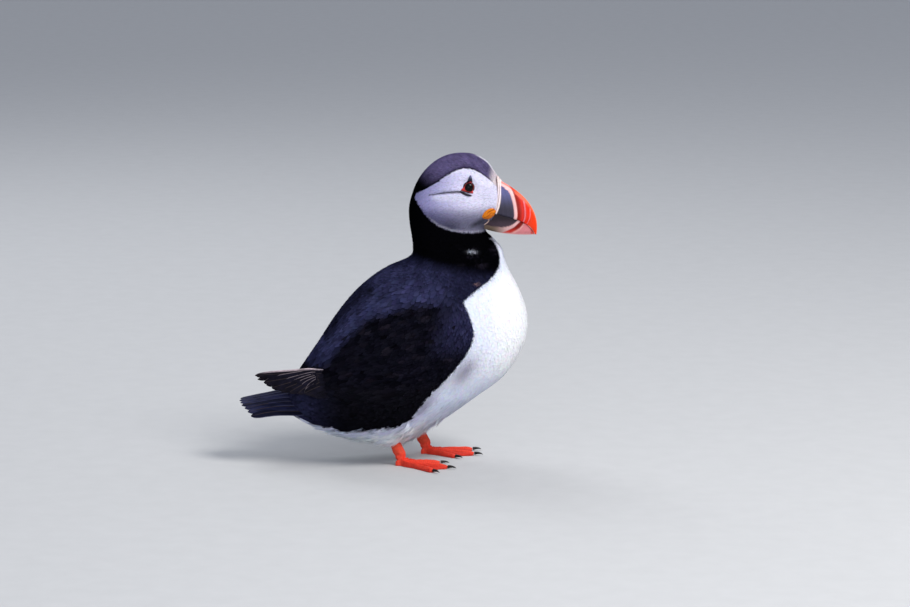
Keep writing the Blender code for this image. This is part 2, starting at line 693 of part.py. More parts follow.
def make_tarsus(side_name, look):
    """The bare shank, from the toes up and back into the leg feathers."""
    place = foot_frame(side_name)
    rings = []
    foot_level = KNUCKLE_HEIGHT + GAP + TARSUS_FOOT_UP
    for k in range(TARSUS_RINGS + 1):
        f = k / TARSUS_RINGS
        swell = 1 + TARSUS_SWELL * (2 * f - 1) ** 2
        level = foot_level + f * TARSUS_LENGTH * math.cos(TARSUS_LEAN)
        back = -TARSUS_FOOT_BACK - f * TARSUS_LENGTH * math.sin(TARSUS_LEAN)
        ring = []
        for a in (2 * math.pi * i / TARSUS_AROUND for i in range(TARSUS_AROUND)):
            x = back + TARSUS_HALF_DEEP * swell * math.cos(a)
            ring.append(tuple(place @ Vector((x, TARSUS_HALF_WIDE * swell * math.sin(a), level))))
        rings.append(ring)
    return add_object("leg_" + side_name, tube_mesh("leg_" + side_name, rings), look)


def make_thigh(side_name, look):
    """The feathered thigh, a bulge low on the belly."""
    place = foot_frame(side_name)
    centre = place @ Vector((-THIGH_BACK, 0, THIGH_LEVEL))
    mesh = sphere_mesh("thigh_" + side_name, Vector((0, 0, 0)), Vector((0, 0, 1)), 1.0, 8, 12)
    tilt = Matrix.Rotation(THIGH_TILT, 4, "Y")
    mesh.transform(Matrix.Translation(centre * MM) @ tilt @ Matrix.Diagonal((*THIGH_SIZE, 1)))
    return add_object(mesh.name, mesh, look)


def make_claws(side_name, look):
    """A down-curved cone in front of each toe."""
    place = foot_frame(side_name)
    made = []
    for name, angle in toe_angles(side_name).items():
        ahead = Vector((math.cos(angle), math.sin(angle), 0))
        across = Vector((-math.sin(angle), math.cos(angle), 0))
        start = ahead * (TOE_LENGTHS[name] + GAP + 0.1) + Vector((0, HEEL_HALF * math.sin(angle), 0))
        rings = []
        for k in range(CLAW_RINGS + 1):
            f = k / CLAW_RINGS
            radius = CLAW_RADIUS * blend(1.0, CLAW_TIP, f)
            middle = start + ahead * CLAW_LENGTH * math.sin(f * CLAW_BEND) / math.sin(CLAW_BEND)
            level = CLAW_RADIUS + CLAW_CLEAR + 0.7 * math.sin(2 * f) - 1.3 * f * f
            ring = []
            for a in (2 * math.pi * i / CLAW_AROUND for i in range(CLAW_AROUND)):
                point = middle + across * radius * math.cos(a)
                point.z = level + radius * math.sin(a)
                ring.append(tuple(place @ point))
            rings.append(ring)
        label = "claw_" + side_name + "_" + name
        made.append(add_object(label, tube_mesh(label, rings), look))
    return made


# ---------------------------------------------------------------- the bird

def main():
    clear_scene()
    looks = {
        "trunk": material("plumage_black", (0.012, 0.012, 0.016), 0.7),
        "neck": material("plumage_neck", (0.008, 0.008, 0.010), 0.7),
        "head": material("plumage_head", (0.55, 0.53, 0.60), 0.8),
        "wing": material("plumage_wing", (0.012, 0.012, 0.016), 0.65),
        "primaries": material("flight_feathers", (0.035, 0.028, 0.028), 0.6),
        "tail": material("tail_feathers", (0.014, 0.014, 0.020), 0.6),
        "thigh": material("plumage_white", (0.80, 0.80, 0.84), 0.8),
        "leg": material("leg_skin", (0.85, 0.10, 0.03), 0.5),
        "claw": material("claw_horn", (0.02, 0.018, 0.018), 0.35),
        "bill": material("bill_horn", (0.85, 0.09, 0.02), 0.35),
        "cere": material("cere_skin", (0.75, 0.55, 0.40), 0.5),
        "rosette": material("rosette_skin", (0.85, 0.40, 0.03), 0.5),
        "eye": material("eye_dark", (0.02, 0.012, 0.01), 0.05),
        "eye_ring": material("eye_ring_skin", (0.75, 0.05, 0.04), 0.5),
        "eye_plate": material("eye_plate_horn", (0.12, 0.13, 0.19), 0.45),
    }
    pose = bpy.data.objects.new("head_pose", None)
    bpy.context.scene.collection.objects.link(pose)
    pivot = Vector((HEAD_PIVOT[0], HEAD_PIVOT[1], 0)) * MM
    pose.matrix_world = (
        Matrix.Translation(pivot) @ Matrix.Rotation(-HEAD_TURN, 4, "Z") @ Matrix.Translation(-pivot)
    )

    trunk = make_trunk(looks["trunk"])
    make_neck(looks["neck"])
    head = make_head(looks["head"], pose)
    bpy.context.view_layer.update()
    head_tree = surface_tree(head)
    trunk_tree = surface_tree(trunk)

    upper = make_upper_bill(looks["bill"], pose)
    cere = make_cere(looks["cere"], pose)
    lower = make_lower_bill(looks["bill"], pose)
    tail = make_tail(looks["tail"])
    make_room(trunk, tail)
    make_room(head, lower)
    make_room(head, cere)

    for side_name, side in (("right", -1), ("left", 1)):
        eyeball, *fittings = make_eye(side_name, side, head_tree, looks, pose)
        make_room(head, eyeball, EYE_ROOM)
        for piece in fittings:
            make_room(head, piece)
        rosette = make_rosette(side_name, side, head_tree, looks["rosette"], pose)
        make_room(head, rosette)
        for piece in (upper, cere, lower):
            make_room(piece, rosette)
        for piece in make_wing(side_name, side, trunk_tree, looks):
            make_room(trunk, piece)
        make_foot(side_name, looks["leg"])
        tarsus = make_tarsus(side_name, looks["leg"])
        thigh = make_thigh(side_name, looks["thigh"])
        make_room(thigh, tarsus)
        make_room(trunk, thigh)
        make_room(trunk, tarsus)
        make_claws(side_name, looks["claw"])


main()
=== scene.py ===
"""Looks of the life-size Atlantic puffin: skin, feathers, bill, eyes and feet round the model.

Sizes are in millimetres in the row frame, where the bird faces +X, its right side is -Y and its
soles are on z = 0, and they become metres when a mesh is made. The head frame has the same axes
as they were before the head was turned. Arrays of points have one row for each point.
"""

import math
from collections import namedtuple
from contextlib import contextmanager

import bmesh
import bpy
import numpy as np
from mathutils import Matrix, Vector
from mathutils.bvhtree import BVHTree


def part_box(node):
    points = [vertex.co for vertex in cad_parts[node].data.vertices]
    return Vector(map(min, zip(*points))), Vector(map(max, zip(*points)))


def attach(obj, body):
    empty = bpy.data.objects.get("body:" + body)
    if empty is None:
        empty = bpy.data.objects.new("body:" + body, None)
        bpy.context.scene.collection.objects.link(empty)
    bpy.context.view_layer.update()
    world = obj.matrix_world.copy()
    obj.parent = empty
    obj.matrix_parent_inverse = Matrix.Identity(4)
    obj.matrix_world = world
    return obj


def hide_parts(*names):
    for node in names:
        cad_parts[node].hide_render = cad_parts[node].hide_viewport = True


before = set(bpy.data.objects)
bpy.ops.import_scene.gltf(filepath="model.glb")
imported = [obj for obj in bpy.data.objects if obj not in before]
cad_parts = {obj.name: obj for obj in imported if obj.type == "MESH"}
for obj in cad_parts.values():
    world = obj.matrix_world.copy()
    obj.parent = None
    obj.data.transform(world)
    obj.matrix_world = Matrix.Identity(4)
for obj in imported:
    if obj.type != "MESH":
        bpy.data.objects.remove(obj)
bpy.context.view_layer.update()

MM = 0.001
SIDES = {"right": -1, "left": 1}
BESIDE = 90.0       # well outside the body on either side

# ------- sizes of the body

HEAD_TURN = math.radians(14)
HEAD_PIVOT = (42.0, 0.0)
TWIST_FROM, TWIST_TO = 124.0, 155.0

# Sections from tail root to crown: back x, z, front x, z, half width, how much narrower in front
STATIONS = np.array((
    (-68, 50, -65, 31, 11, 0),
    (-58, 67, -51, 22.6, 22, 0),
    (-47.5, 82.5, -33, 16, 31, 0),
    (-36.5, 99.5, -12, 11.8, 38, 0),
    (-26, 113, 10, 11.4, 42, 0),
    (-14, 124.5, 32, 24, 44.5, 0.02),
    (-1, 133, 57, 41.5, 45, 0.05),
    (9, 137.2, 79, 58.5, 43.5, 0.08),
    (14.8, 140.8, 91, 80, 40.5, 0.1),
    (17.2, 144.2, 94.2, 99, 37, 0.12),
    (17.2, 148.5, 90, 116.5, 33, 0.14),
    (17, 152.5, 82.8, 131, 29.5, 0.14),
    (15.4, 159, 75, 147.5, 25.5, 0.16),
    (14.4, 167, 68.6, 158.5, 22.8, 0.22),
    (14.3, 175, 75.9, 168.5, 21.8, 0.34),
    (16.5, 184, 78.6, 179.5, 21, 0.38),
    (19.9, 192.2, 79, 190, 19.4, 0.36),
    (25.2, 199.8, 73, 199.5, 17.4, 0.3),
    (32.4, 206.3, 67.9, 206.5, 14.2, 0.2),
    (41, 210.5, 59.6, 210.8, 8.6, 0.06),
    (50.5, 211.9, 50.6, 211.9, 0.1, 0),
))
THROAT, CHEEK, CROWN = 12, 14, 20     # rows of STATIONS
SECTION_POWER = 2.15
NECK_TOP = 157.0
FACE_CHIN, FACE_BROW = (72.2, 158.0), (75.6, 198.4)

SKIN_VOXEL, SKIN_SMOOTHING = 1.1, 7
BODY_AROUND, RINGS_PER_STATION = 88, 7


# ------- numbers and curves

def ease(f):
    f = np.clip(f, 0.0, 1.0)
    return f * f * (3 - 2 * f)


def rise(value, start, over):
    """0 up to start, then eased to 1 over a length."""
    return ease((value - start) / over)


def fall(value, start, over):
    """0 down to start, then eased to 1 over a length below it."""
    return ease((start - value) / over)


def hump(value, at, width):
    """1 at a place, falling off smoothly on both sides."""
    return np.exp(-(((value - at) / width) ** 2))


def band(value, low, high, soft=0.18):
    """1 where value is between low and high, with soft edges."""
    return ease((value - low) / soft + 0.5) * ease((high - value) / soft + 0.5)


def between(low, high, f):
    return low + (high - low) * f


def unit(rows):
    return rows / np.maximum(np.linalg.norm(rows, axis=-1, keepdims=True), 1e-9)


def dot(a, b):
    return np.sum(a * b, axis=-1, keepdims=True)


def spot(across, up):
    """1 in the middle of a smooth round spot, from places in its own half sizes."""
    return np.exp(-(across**2) - (up**2))


def slanted(x, z, middle, way):
    """Places along and aside from a slanting line through a middle."""
    dx, dz = x - middle[0], z - middle[1]
    return dx * way[0] + dz * way[1], dz * way[0] - dx * way[1]


def rgb(*parts):
    """A linear colour."""
    return np.array(parts)


def layered(base, layers):
    """Colours laid over a base, each by its own share."""
    for share, colour in layers:
        base = base + (colour - base) * share[..., None]
    return base


def smoothed(rows, times, closed=False):
    """Rows eased towards their neighbours, all round a closed line or inside an open one."""
    rows = rows.copy()
    for _ in range(times):
        if closed:
            rows = (np.roll(rows, 1) + 2 * rows + np.roll(rows, -1)) / 4
        else:
            rows[1:-1] = (rows[:-2] + 2 * rows[1:-1] + rows[2:]) / 4
    return rows


def curve_through(table, at, closed=False):
    """Rows at fractional places on a Catmull-Rom curve through the rows of a table."""
    last = len(table) - 1
    low = at.astype(int) if closed else np.minimum(at.astype(int), last - 1)
    near = [low + k for k in (-1, 0, 1, 2)]
    p0, p1, p2, p3 = (table[k % (last + 1) if closed else np.clip(k, 0, last)] for k in near)
    f = (at - low)[:, None]
    bend = 2 * p0 - 5 * p1 + 4 * p2 - p3
    turn = 3 * p1 - p0 - 3 * p2 + p3
    return 0.5 * (2 * p1 + (p2 - p0) * f + bend * f**2 + turn * f**3)


def turned(points, share):
    """Points swung about the head's upright axis by a share of the head's turn."""
    angle = -HEAD_TURN * np.asarray(share)
    dx, dy = points[..., 0] - HEAD_PIVOT[0], points[..., 1] - HEAD_PIVOT[1]
    x = HEAD_PIVOT[0] + dx * np.cos(angle) - dy * np.sin(angle)
    y = HEAD_PIVOT[1] + dx * np.sin(angle) + dy * np.cos(angle)
    return np.stack([x, y, points[..., 2]], axis=-1)


def to_head(points):
    return turned(points, -1.0)


def from_head(points):
    return turned(points, 1.0)


def ripple(points, size, seed):
    """Smooth noise from -1 to 1 whose waves are about size long."""
    draw = np.random.default_rng(seed)
    total = np.zeros(points.shape[:-1])
    for _ in range(7):
        way = unit(draw.normal(size=3)) * 2 * math.pi / (size * draw.uniform(0.7, 1.5))
        total += np.sin(points @ way + draw.uniform(0, 2 * math.pi))
    return total / 4.5


def outline_distance(points, outline):
    """Distance of x, z points to a closed outline, positive inside it."""
    corners = np.asarray(outline, float)
    ends = np.roll(corners, -1, axis=0)
    best = np.full(len(points), 1e9)
    inside = np.zeros(len(points), bool)
    for a, b in zip(corners, ends):
        along = b - a
        f = np.clip((points - a) @ along / max(along @ along, 1e-9), 0, 1)
        best = np.minimum(best, np.hypot(*(points - a - f[:, None] * along).T))
        above = (a[1] > points[:, 1]) != (b[1] > points[:, 1])
        cross = a[0] + (points[:, 1] - a[1]) / ((b[1] - a[1]) or 1e-9) * along[0]
        inside ^= above & (points[:, 0] < cross)
    return np.where(inside, best, -best)


def line_distance(points, line):
    """Distance of x, z points to an open line, and how far along it they are from 0 to 1."""
    line = np.asarray(line, float)
    best, where = np.full(len(points), 1e9), np.zeros(len(points))
    for k, (a, b) in enumerate(zip(line[:-1], line[1:])):
        along = b - a
        f = np.clip((points - a) @ along / (along @ along), 0, 1)
        gap = np.hypot(*(points - a - f[:, None] * along).T)
        where = np.where(gap < best, (k + f) / (len(line) - 1), where)
        best = np.minimum(best, gap)
    return best, where


# ------- meshes and materials

def mesh_from(name, points, faces):
    """A smooth mesh from points in millimetres and a list of faces."""
    mesh = bpy.data.meshes.new(name)
    mesh.from_pydata((np.asarray(points) * MM).tolist(), [], faces)
    mesh.polygons.foreach_set("use_smooth", [True] * len(mesh.polygons))
    return mesh


def pairs(count):
    """Each number below a count with the next one round."""
    return [(i, (i + 1) % count) for i in range(count)]


def ring_faces(rows, around):
    """Faces of a tube of closed rings with a cap at each end."""
    faces = []
    for low in range(0, (rows - 1) * around, around):
        high = low + around
        faces += [(low + i, low + j, high + j, high + i) for i, j in pairs(around)]
    faces.append(tuple(reversed(range(around))))
    faces.append(tuple(range((rows - 1) * around, rows * around)))
    return faces


def ring_mesh(name, rings):
    """A closed mesh from an array of rings of points."""
    mesh = mesh_from(name, rings.reshape(-1, 3), ring_faces(*rings.shape[:2]))
    face_out(mesh)
    return mesh


def triangle_mesh(name, points, triangles):
    """A smooth mesh from an array of points in millimetres and an array of triangles."""
    mesh = bpy.data.meshes.new(name)
    mesh.vertices.add(len(points))
    mesh.vertices.foreach_set("co", (points * MM).astype(np.float32).ravel())
    mesh.loops.add(triangles.size)
    mesh.loops.foreach_set("vertex_index", triangles.astype(np.int32).ravel())
    mesh.polygons.add(len(triangles))
    mesh.polygons.foreach_set("loop_start", np.arange(0, triangles.size, 3, dtype=np.int32))
    mesh.polygons.foreach_set("use_smooth", np.ones(len(triangles), bool))
    mesh.update(calc_edges=True)
    return mesh


def add_object(name, data, look=None):
    obj = bpy.data.objects.new(name, data)
    bpy.context.scene.collection.objects.link(obj)
    if look is not None:
        data.materials.append(look)
    return obj


@contextmanager
def edited(mesh):
    """The mesh as a bmesh, written back at the end."""
    work = bmesh.new()
    work.from_mesh(mesh)
    yield work
    work.to_mesh(mesh)
    work.free()


def face_out(mesh):
    with edited(mesh) as work:
        bmesh.ops.recalc_face_normals(work, faces=work.faces)
        if work.calc_volume(signed=True) < 0:
            bmesh.ops.reverse_faces(work, faces=work.faces)


def gathered(items, key, wide, kind=np.float32):
    """What every item of a mesh holds under a key, as rows."""
    flat = np.empty(len(items) * wide, kind)
    items.foreach_get(key, flat)
    return flat.reshape(-1, wide)


def points_of(mesh):
    return gathered(mesh.vertices, "co", 3).astype(float) / MM


def normals_of(mesh):
    return gathered(mesh.vertex_normals, "vector", 3).astype(float)


def set_points(mesh, points):
    mesh.vertices.foreach_set("co", (points * MM).astype(np.float32).ravel())
    mesh.update()


def push_out(mesh, lift):
    """Moves each point along its normal."""
    set_points(mesh, points_of(mesh) + normals_of(mesh) * lift.reshape(-1, 1))


def set_paint(mesh, colours, least=0.001):
    """Stores one linear colour for each vertex."""
    layer = mesh.attributes.new("paint", "FLOAT_COLOR", "POINT")
    rgba = np.ones((len(colours), 4), np.float32)
    rgba[:, :3] = np.clip(colours, least, 0.95)
    layer.data.foreach_set("color", rgba.ravel())


def set_vane(mesh, rows):
    """Stores for each vertex how far along and across its feather it is, and the feather's luck."""
    layer = mesh.attributes.new("vane", "FLOAT_VECTOR", "POINT")
    layer.data.foreach_set("vector", rows.astype(np.float32).ravel())


def evaluated(obj):
    """The mesh that obj has after its modifiers, as data of its own."""
    graph = bpy.context.evaluated_depsgraph_get()
    graph.update()
    return bpy.data.meshes.new_from_object(obj.evaluated_get(graph))


def join_meshes(name, meshes):
    """One object from several meshes in metres."""
    joined = bpy.data.meshes.new(name)
    with edited(joined) as work:
        for mesh in meshes:
            work.from_mesh(mesh)
    return add_object(name, joined)


def subdivided(obj):
    fine = obj.modifiers.new("fine", "SUBSURF")
    fine.levels = fine.render_levels = 1
    return obj


def remeshed(meshes, voxel, smoothing):
    """One closed skin round several overlapping meshes."""
    shape = join_meshes("shape", meshes)
    remesh = shape.modifiers.new("remesh", "REMESH")
    remesh.mode = "VOXEL"
    remesh.voxel_size = voxel * MM
    smooth = shape.modifiers.new("smooth", "SMOOTH")
    smooth.factor, smooth.iterations = 0.5, smoothing
    mesh = evaluated(shape)
    bpy.data.objects.remove(shape)
    mesh.polygons.foreach_set("use_smooth", [True] * len(mesh.polygons))
    return mesh


class Nodes:
    """Short calls for making a material's node tree."""

    def __init__(self, name):
        self.material = bpy.data.materials.new(name)
        self.material.use_nodes = True
        self.tree = self.material.node_tree
        self.shader = self.tree.nodes["Principled BSDF"]

    def node(self, kind, links=None, **settings):
        made = self.tree.nodes.new(kind)
        for key, value in settings.items():
            setattr(made, key, value)
        for socket, value in (links or {}).items():
            self.plug(made.inputs[socket], value)
        return made

    def plug(self, socket, value):
        if isinstance(value, bpy.types.NodeSocket):
            self.tree.links.new(value, socket)
        elif hasattr(socket.default_value, "__len__") and len(socket.default_value) == 4:
            socket.default_value = (*value, 1.0) if len(value) == 3 else value
        else:
            socket.default_value = value

    def set(self, **values):
        for key, value in values.items():
            self.plug(self.shader.inputs[key.replace("_", " ")], value)

    def attribute(self, name, output="Color"):
        return self.node("ShaderNodeAttribute", attribute_name=name).outputs[output]

    def place(self, scale=(1, 1, 1)):
        coordinates = self.node("ShaderNodeTexCoord").outputs["Object"]
        links = {"Vector": coordinates, "Scale": scale}
        return self.node("ShaderNodeMapping", links).outputs["Vector"]

    def noise(self, vector, scale, detail=3.0):
        links = {"Vector": vector, "Scale": scale, "Detail": detail, "Roughness": 0.55}
        return self.node("ShaderNodeTexNoise", links).outputs["Fac"]

    def ramp(self, value, low, high, out_low=0.0, out_high=1.0):
        links = {"Value": value, 1: low, 2: high, 3: out_low, 4: out_high}
        return self.node("ShaderNodeMapRange", links).outputs["Result"]

    def math(self, operation, a, b=0.0):
        return self.node("ShaderNodeMath", {0: a, 1: b}, operation=operation).outputs[0]

    def mix(self, factor, a, b, blend_type="MIX"):
        made = self.node("ShaderNodeMix", data_type="RGBA", blend_type=blend_type)
        colours = [s for s in made.inputs if s.type == "RGBA"]
        self.plug(made.inputs[0], factor)
        self.plug(colours[0], a)
        self.plug(colours[1], b)
        return [s for s in made.outputs if s.type == "RGBA"][0]

    def painted(self, *shades):
        """The painted colour, made lighter or darker by each shade."""
        colour = self.attribute("paint")
        for shade in shades:
            grey = self.node("ShaderNodeCombineColor", {0: shade, 1: shade, 2: shade}).outputs[0]
            colour = self.mix(1.0, colour, grey, "MULTIPLY")
        return colour

    def vane(self):
        """Outputs X and Y: how far along and across its feather each place is."""
        links = {"Vector": self.attribute("vane", "Vector")}
        return self.node("ShaderNodeSeparateXYZ", links).outputs

    def barbs(self, vane, along, across, fine):
        """Waves that slant outwards from each feather's shaft."""
        slope = self.math("MULTIPLY", self.math("ABSOLUTE", vane["Y"]), across)
        slant = self.math("ADD", self.math("MULTIPLY", vane["X"], along), slope)
        return self.math("SINE", self.math("MULTIPLY", slant, fine))

    def bump(self, height, strength, distance):
        links = {"Height": height, "Strength": strength, "Distance": distance}
        return self.node("ShaderNodeBump", links).outputs["Normal"]


# ------- camera, floor and light

VIEW_WIDE = 618.8             # width seen at the bird's distance
CAMERA_HIGH = math.radians(9.5)
CAMERA_FAR = 2500.0
CAMERA_AIM = (45.6, 0.0, 108.0)
SENSOR = 36.0
FLOOR_HALF = 30000.0
LIGHT_AIM = (0.02, 0.0, 0.11)     # metres


def make_camera():
    data = bpy.data.cameras.new("camera")
    data.sensor_width = SENSOR
    data.lens = SENSOR * CAMERA_FAR / VIEW_WIDE
    data.clip_start, data.clip_end = 0.05, 100.0
    camera = add_object("camera", data)
    back = Vector((0.0, -math.cos(CAMERA_HIGH), math.sin(CAMERA_HIGH)))
    camera.location = (Vector(CAMERA_AIM) + back * CAMERA_FAR) * MM
    camera.rotation_euler = (math.pi / 2 - CAMERA_HIGH, 0.0, 0.0)
    bpy.context.scene.camera = camera


def make_floor():
    corners = [(x * FLOOR_HALF, y * FLOOR_HALF, 0) for x, y in ((-1, -1), (1, -1), (1, 1), (-1, 1))]
    look = Nodes("floor_paper")
    grain = look.noise(look.place(), 60.0)
    look.set(
        Base_Color=look.mix(grain, (0.50, 0.50, 0.495), (0.55, 0.55, 0.545)),
        Roughness=0.9,
        Normal=look.bump(look.noise(look.place(), 900.0), 0.15, 0.0002),
    )
    add_object("floor", mesh_from("floor", corners, [(0, 1, 2, 3)]), look.material)


def make_light(name, place, size, power, colour):
    data = bpy.data.lights.new(name, "AREA")
    data.shape = "DISK"
    data.size, data.energy, data.color = size, power, colour
    lamp = add_object(name, data)
    lamp.location = place
    aim = Vector(LIGHT_AIM) - lamp.location
    lamp.rotation_euler = aim.to_track_quat("-Z", "Y").to_euler()


def make_lights():
    world = bpy.data.worlds.new("world")
    world.use_nodes = True
    sky = world.node_tree.nodes["Background"]
    sky.inputs["Color"].default_value = (0.80, 0.86, 1.0, 1.0)
    sky.inputs["Strength"].default_value = 0.55
    bpy.context.scene.world = world
    make_light("key", (1.0, -0.75, 1.5), 0.9, 29.0, (1.0, 0.985, 0.97))
    make_light("fill", (0.1, -1.7, 0.5), 1.2, 7.5, (0.88, 0.92, 1.0))
    make_light("rim", (-0.6, 1.1, 1.4), 1.0, 9.0, (0.95, 0.97, 1.0))
    bpy.context.scene.view_settings.view_transform = "Standard"


make_camera()
make_floor()
make_lights()


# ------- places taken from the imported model

def box_corners(node):
    """Low and high corner of a CAD node's box."""
    return (np.array(corner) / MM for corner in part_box(node))


def node_mesh(name):
    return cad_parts[name].data


def tree_of(meshes):
    """A tree over CAD meshes, in millimetres."""
    points, faces = [], []
    for mesh in meshes:
        start = len(points)
        points += [tuple(v.co / MM) for v in mesh.vertices]
        faces += [tuple(start + i for i in p.vertices) for p in mesh.polygons]
    return BVHTree.FromPolygons(points, faces)


def nearest(tree, points):
    """Places, normals and faces of the nearest surface to each point."""
    places, normals, faces = [], [], []
    for row in points.tolist():
        place, normal, face, _ = tree.find_nearest(row)
        places.append(tuple(place))
        normals.append(tuple(normal))
        faces.append(face)
    return np.array(places), np.array(normals), np.array(faces)


def gap_to(tree, points):
    places, _, _ = nearest(tree, points)
    return np.linalg.norm(places - points, axis=1)


# ------- markings

# Outline of the pale face, x, z in the head frame
FACE_OUTLINE = (
    (79, 190), (75.6, 190.6), (73.5, 193), (71.2, 195.1), (68.7, 197.1), (65.4, 199.6),
    (61.8, 201.6), (58.5, 202.6), (55, 202.8), (49.8, 201.4), (44.1, 198.2), (37.6, 193.2),
    (29.9, 188.6), (22.5, 184.6), (21.4, 182.2), (26, 176.6), (32, 169.4), (39, 164),
    (47.6, 160.6), (56.9, 159), (63.2, 158.6), (67, 158.4), (80, 157),
)
# Underparts, x, z in the row frame
WHITE_OUTLINE = (
    (69.6, 153.8), (71.4, 152.7), (73.3, 150.5), (75.3, 145.5), (76.2, 141), (75.9, 136),
    (73.2, 131.6), (68, 127.4), (61, 122.9), (55, 118.6), (51, 115.4), (54.3, 108.9), (57.7, 100),
    (58.9, 93.8), (56.5, 85.5), (51.8, 77), (46.3, 70), (41.6, 64.4), (35.5, 57.6), (30, 53),
    (25.5, 47.5), (20, 40), (15, 33), (8, 28.8), (0, 26.8), (-8, 26), (-15, 24.4), (-24, 23.6),
    (-32, 23), (-40, 24.4), (-55, 27.6), (-66, 31), (-75, 32), (-75, -10), (130, -10),
    (130, 153.8),
)
# The fold behind the eye, x, z in the head frame
CREASE = ((56.0, 187.0), (51.0, 187.2), (45.5, 186.8), (39.5, 186.0), (33.0, 184.9))
DARK_STREAK = ((-12.0, 121.0), (-18.0, 118.0), (-29.0, 107.0), (-42.0, 89.5))
CHIN_AT, CHIN_WAY = (64.4, 165.4), (9.2 / 10.47, 5.0 / 10.47)
SMUDGE_AT, SMUDGE_WAY = (52.0, 67.0), (0.62, 0.78)

FACE_PALE = rgb(0.80, 0.77, 0.93)
REAR_FADE = rgb(0.98, 1.00, 0.60)      # how much each colour darkens to the rear: painted shade, with some of the cheek's own grey
CHIN_FADE = rgb(1.60, 1.60, 1.40)      # and to the chin: painted shade, with some of the cheek's own grey
FACE_RIM = rgb(0.80, 0.79, 0.92)
FOREHEAD_CREAM = rgb(0.84, 0.74, 0.76)
# painted rim light along the top of the forehead
FOREHEAD_RIM_LIGHT = rgb(0.82, 0.80, 0.88)
CROWN_BROWN = rgb(0.100, 0.080, 0.175)
COLLAR_BLACK = rgb(0.0012, 0.0012, 0.0018)
# black plumage with its blue sheen painted in
MANTLE_BLACK_SHEEN = rgb(0.022, 0.023, 0.058)
WING_BLACK = rgb(0.0040, 0.0038, 0.0070)
# painted blue sheen on the wing's upper front
WING_SHEEN = rgb(0.016, 0.016, 0.041)
# the flank's black: a dark thigh patch, with painted shadow under the wing
FLANK_BLACK = rgb(0.0042, 0.0040, 0.0060)
WHITE = rgb(0.82, 0.84, 0.91)
# the front of the breast painted whiter: painted light
WHITE_LIT = rgb(0.93, 0.93, 0.95)
# lilac painted shade on the white underparts
LILAC_SHADE = rgb(0.74, 0.79, 0.95)
# a brown stain on the flank, also used as painted shade along the white's lower edge
STAIN_AND_SHADE_BROWN = rgb(0.24, 0.215, 0.30)
# painted shadow at the lower front of the face by the mouth corner
CHIN_SHADOW_GREY = rgb(0.035, 0.035, 0.05)
WING_BROWN = rgb(0.010, 0.007, 0.009)
COLLAR_SHEEN = rgb(0.011, 0.009, 0.014)
COLLAR_FLECK = rgb(0.42, 0.43, 0.50)
SHOULDER_FLECK = rgb(0.20, 0.12, 0.11)
STREAKED = np.array((0.35, 1.0, 1.0))         # what draws noise out along the body
IN_ROWS = np.array((0.35, 0.35, 1.6))         # and into level rows
# Outline of the folded wing's black part, x, z
WING_OUTLINE = (
    (50, 115), (16, 114), (-2, 107), (-15, 103), (-21, 96), (-30, 87), (-43, 70), (-95, 66),
    (-95, 20), (120, 20), (120, 100), (62, 104),
)


def face_edge(head):
    """Distance inside the pale face."""
    return outline_distance(head[:, [0, 2]], FACE_OUTLINE)


def white_edge(points):
    """Distance inside the underparts."""
    return outline_distance(points[:, [0, 2]], WHITE_OUTLINE)


def face_colour(head):
    """Colours inside the pale face, for points in the head frame."""
    x, z = head[:, 0], head[:, 2]
    # the face darkens to the rear, to the chin and on the lower cheek: painted shade, with some of
    # the cheek's own grey
    fade = fall(x, 62, 40)[:, None] * REAR_FADE + fall(z, 179.5, 13.5)[:, None] * CHIN_FADE
    under = spot((x - 47.0) / 7.5, (z - 163.0) / 3.6)
    below = hump(z, 183.2, 2.2) * rise(x, 32, 8) * fall(x, 60, 6)
    gap, share = line_distance(head[:, [0, 2]], CREASE)
    rim = hump(face_edge(head), 0.8, 0.6)
    high, low = rise(z, 196, 4), fall(z, 172, 6)
    # a dark patch at the lower front of the face by the mouth corner: painted shadow
    along, aside = slanted(x, z, CHIN_AT, CHIN_WAY)
    chin_shadow = np.exp(-((along / 5.4) ** 4) - ((aside / 2.1) ** 2))
    colour = layered(FACE_PALE * np.exp(-fade) * (1 - 0.55 * under)[:, None], [
        (0.8 * below, FACE_RIM),
        # a dark line along the fold behind the eye: painted shade in the fold
        (0.9 * hump(gap, 0, 0.80 - 0.40 * share), COLLAR_BLACK + 0.02),
        (0.8 * rim * np.maximum(high, 0.6 * low), FACE_RIM * (0.55 + 0.42 * high)[:, None]),
        (0.85 * chin_shadow, CHIN_SHADOW_GREY),
    ])
    return colour * (1 + 0.05 * ripple(head, 3.0, 5))[:, None]


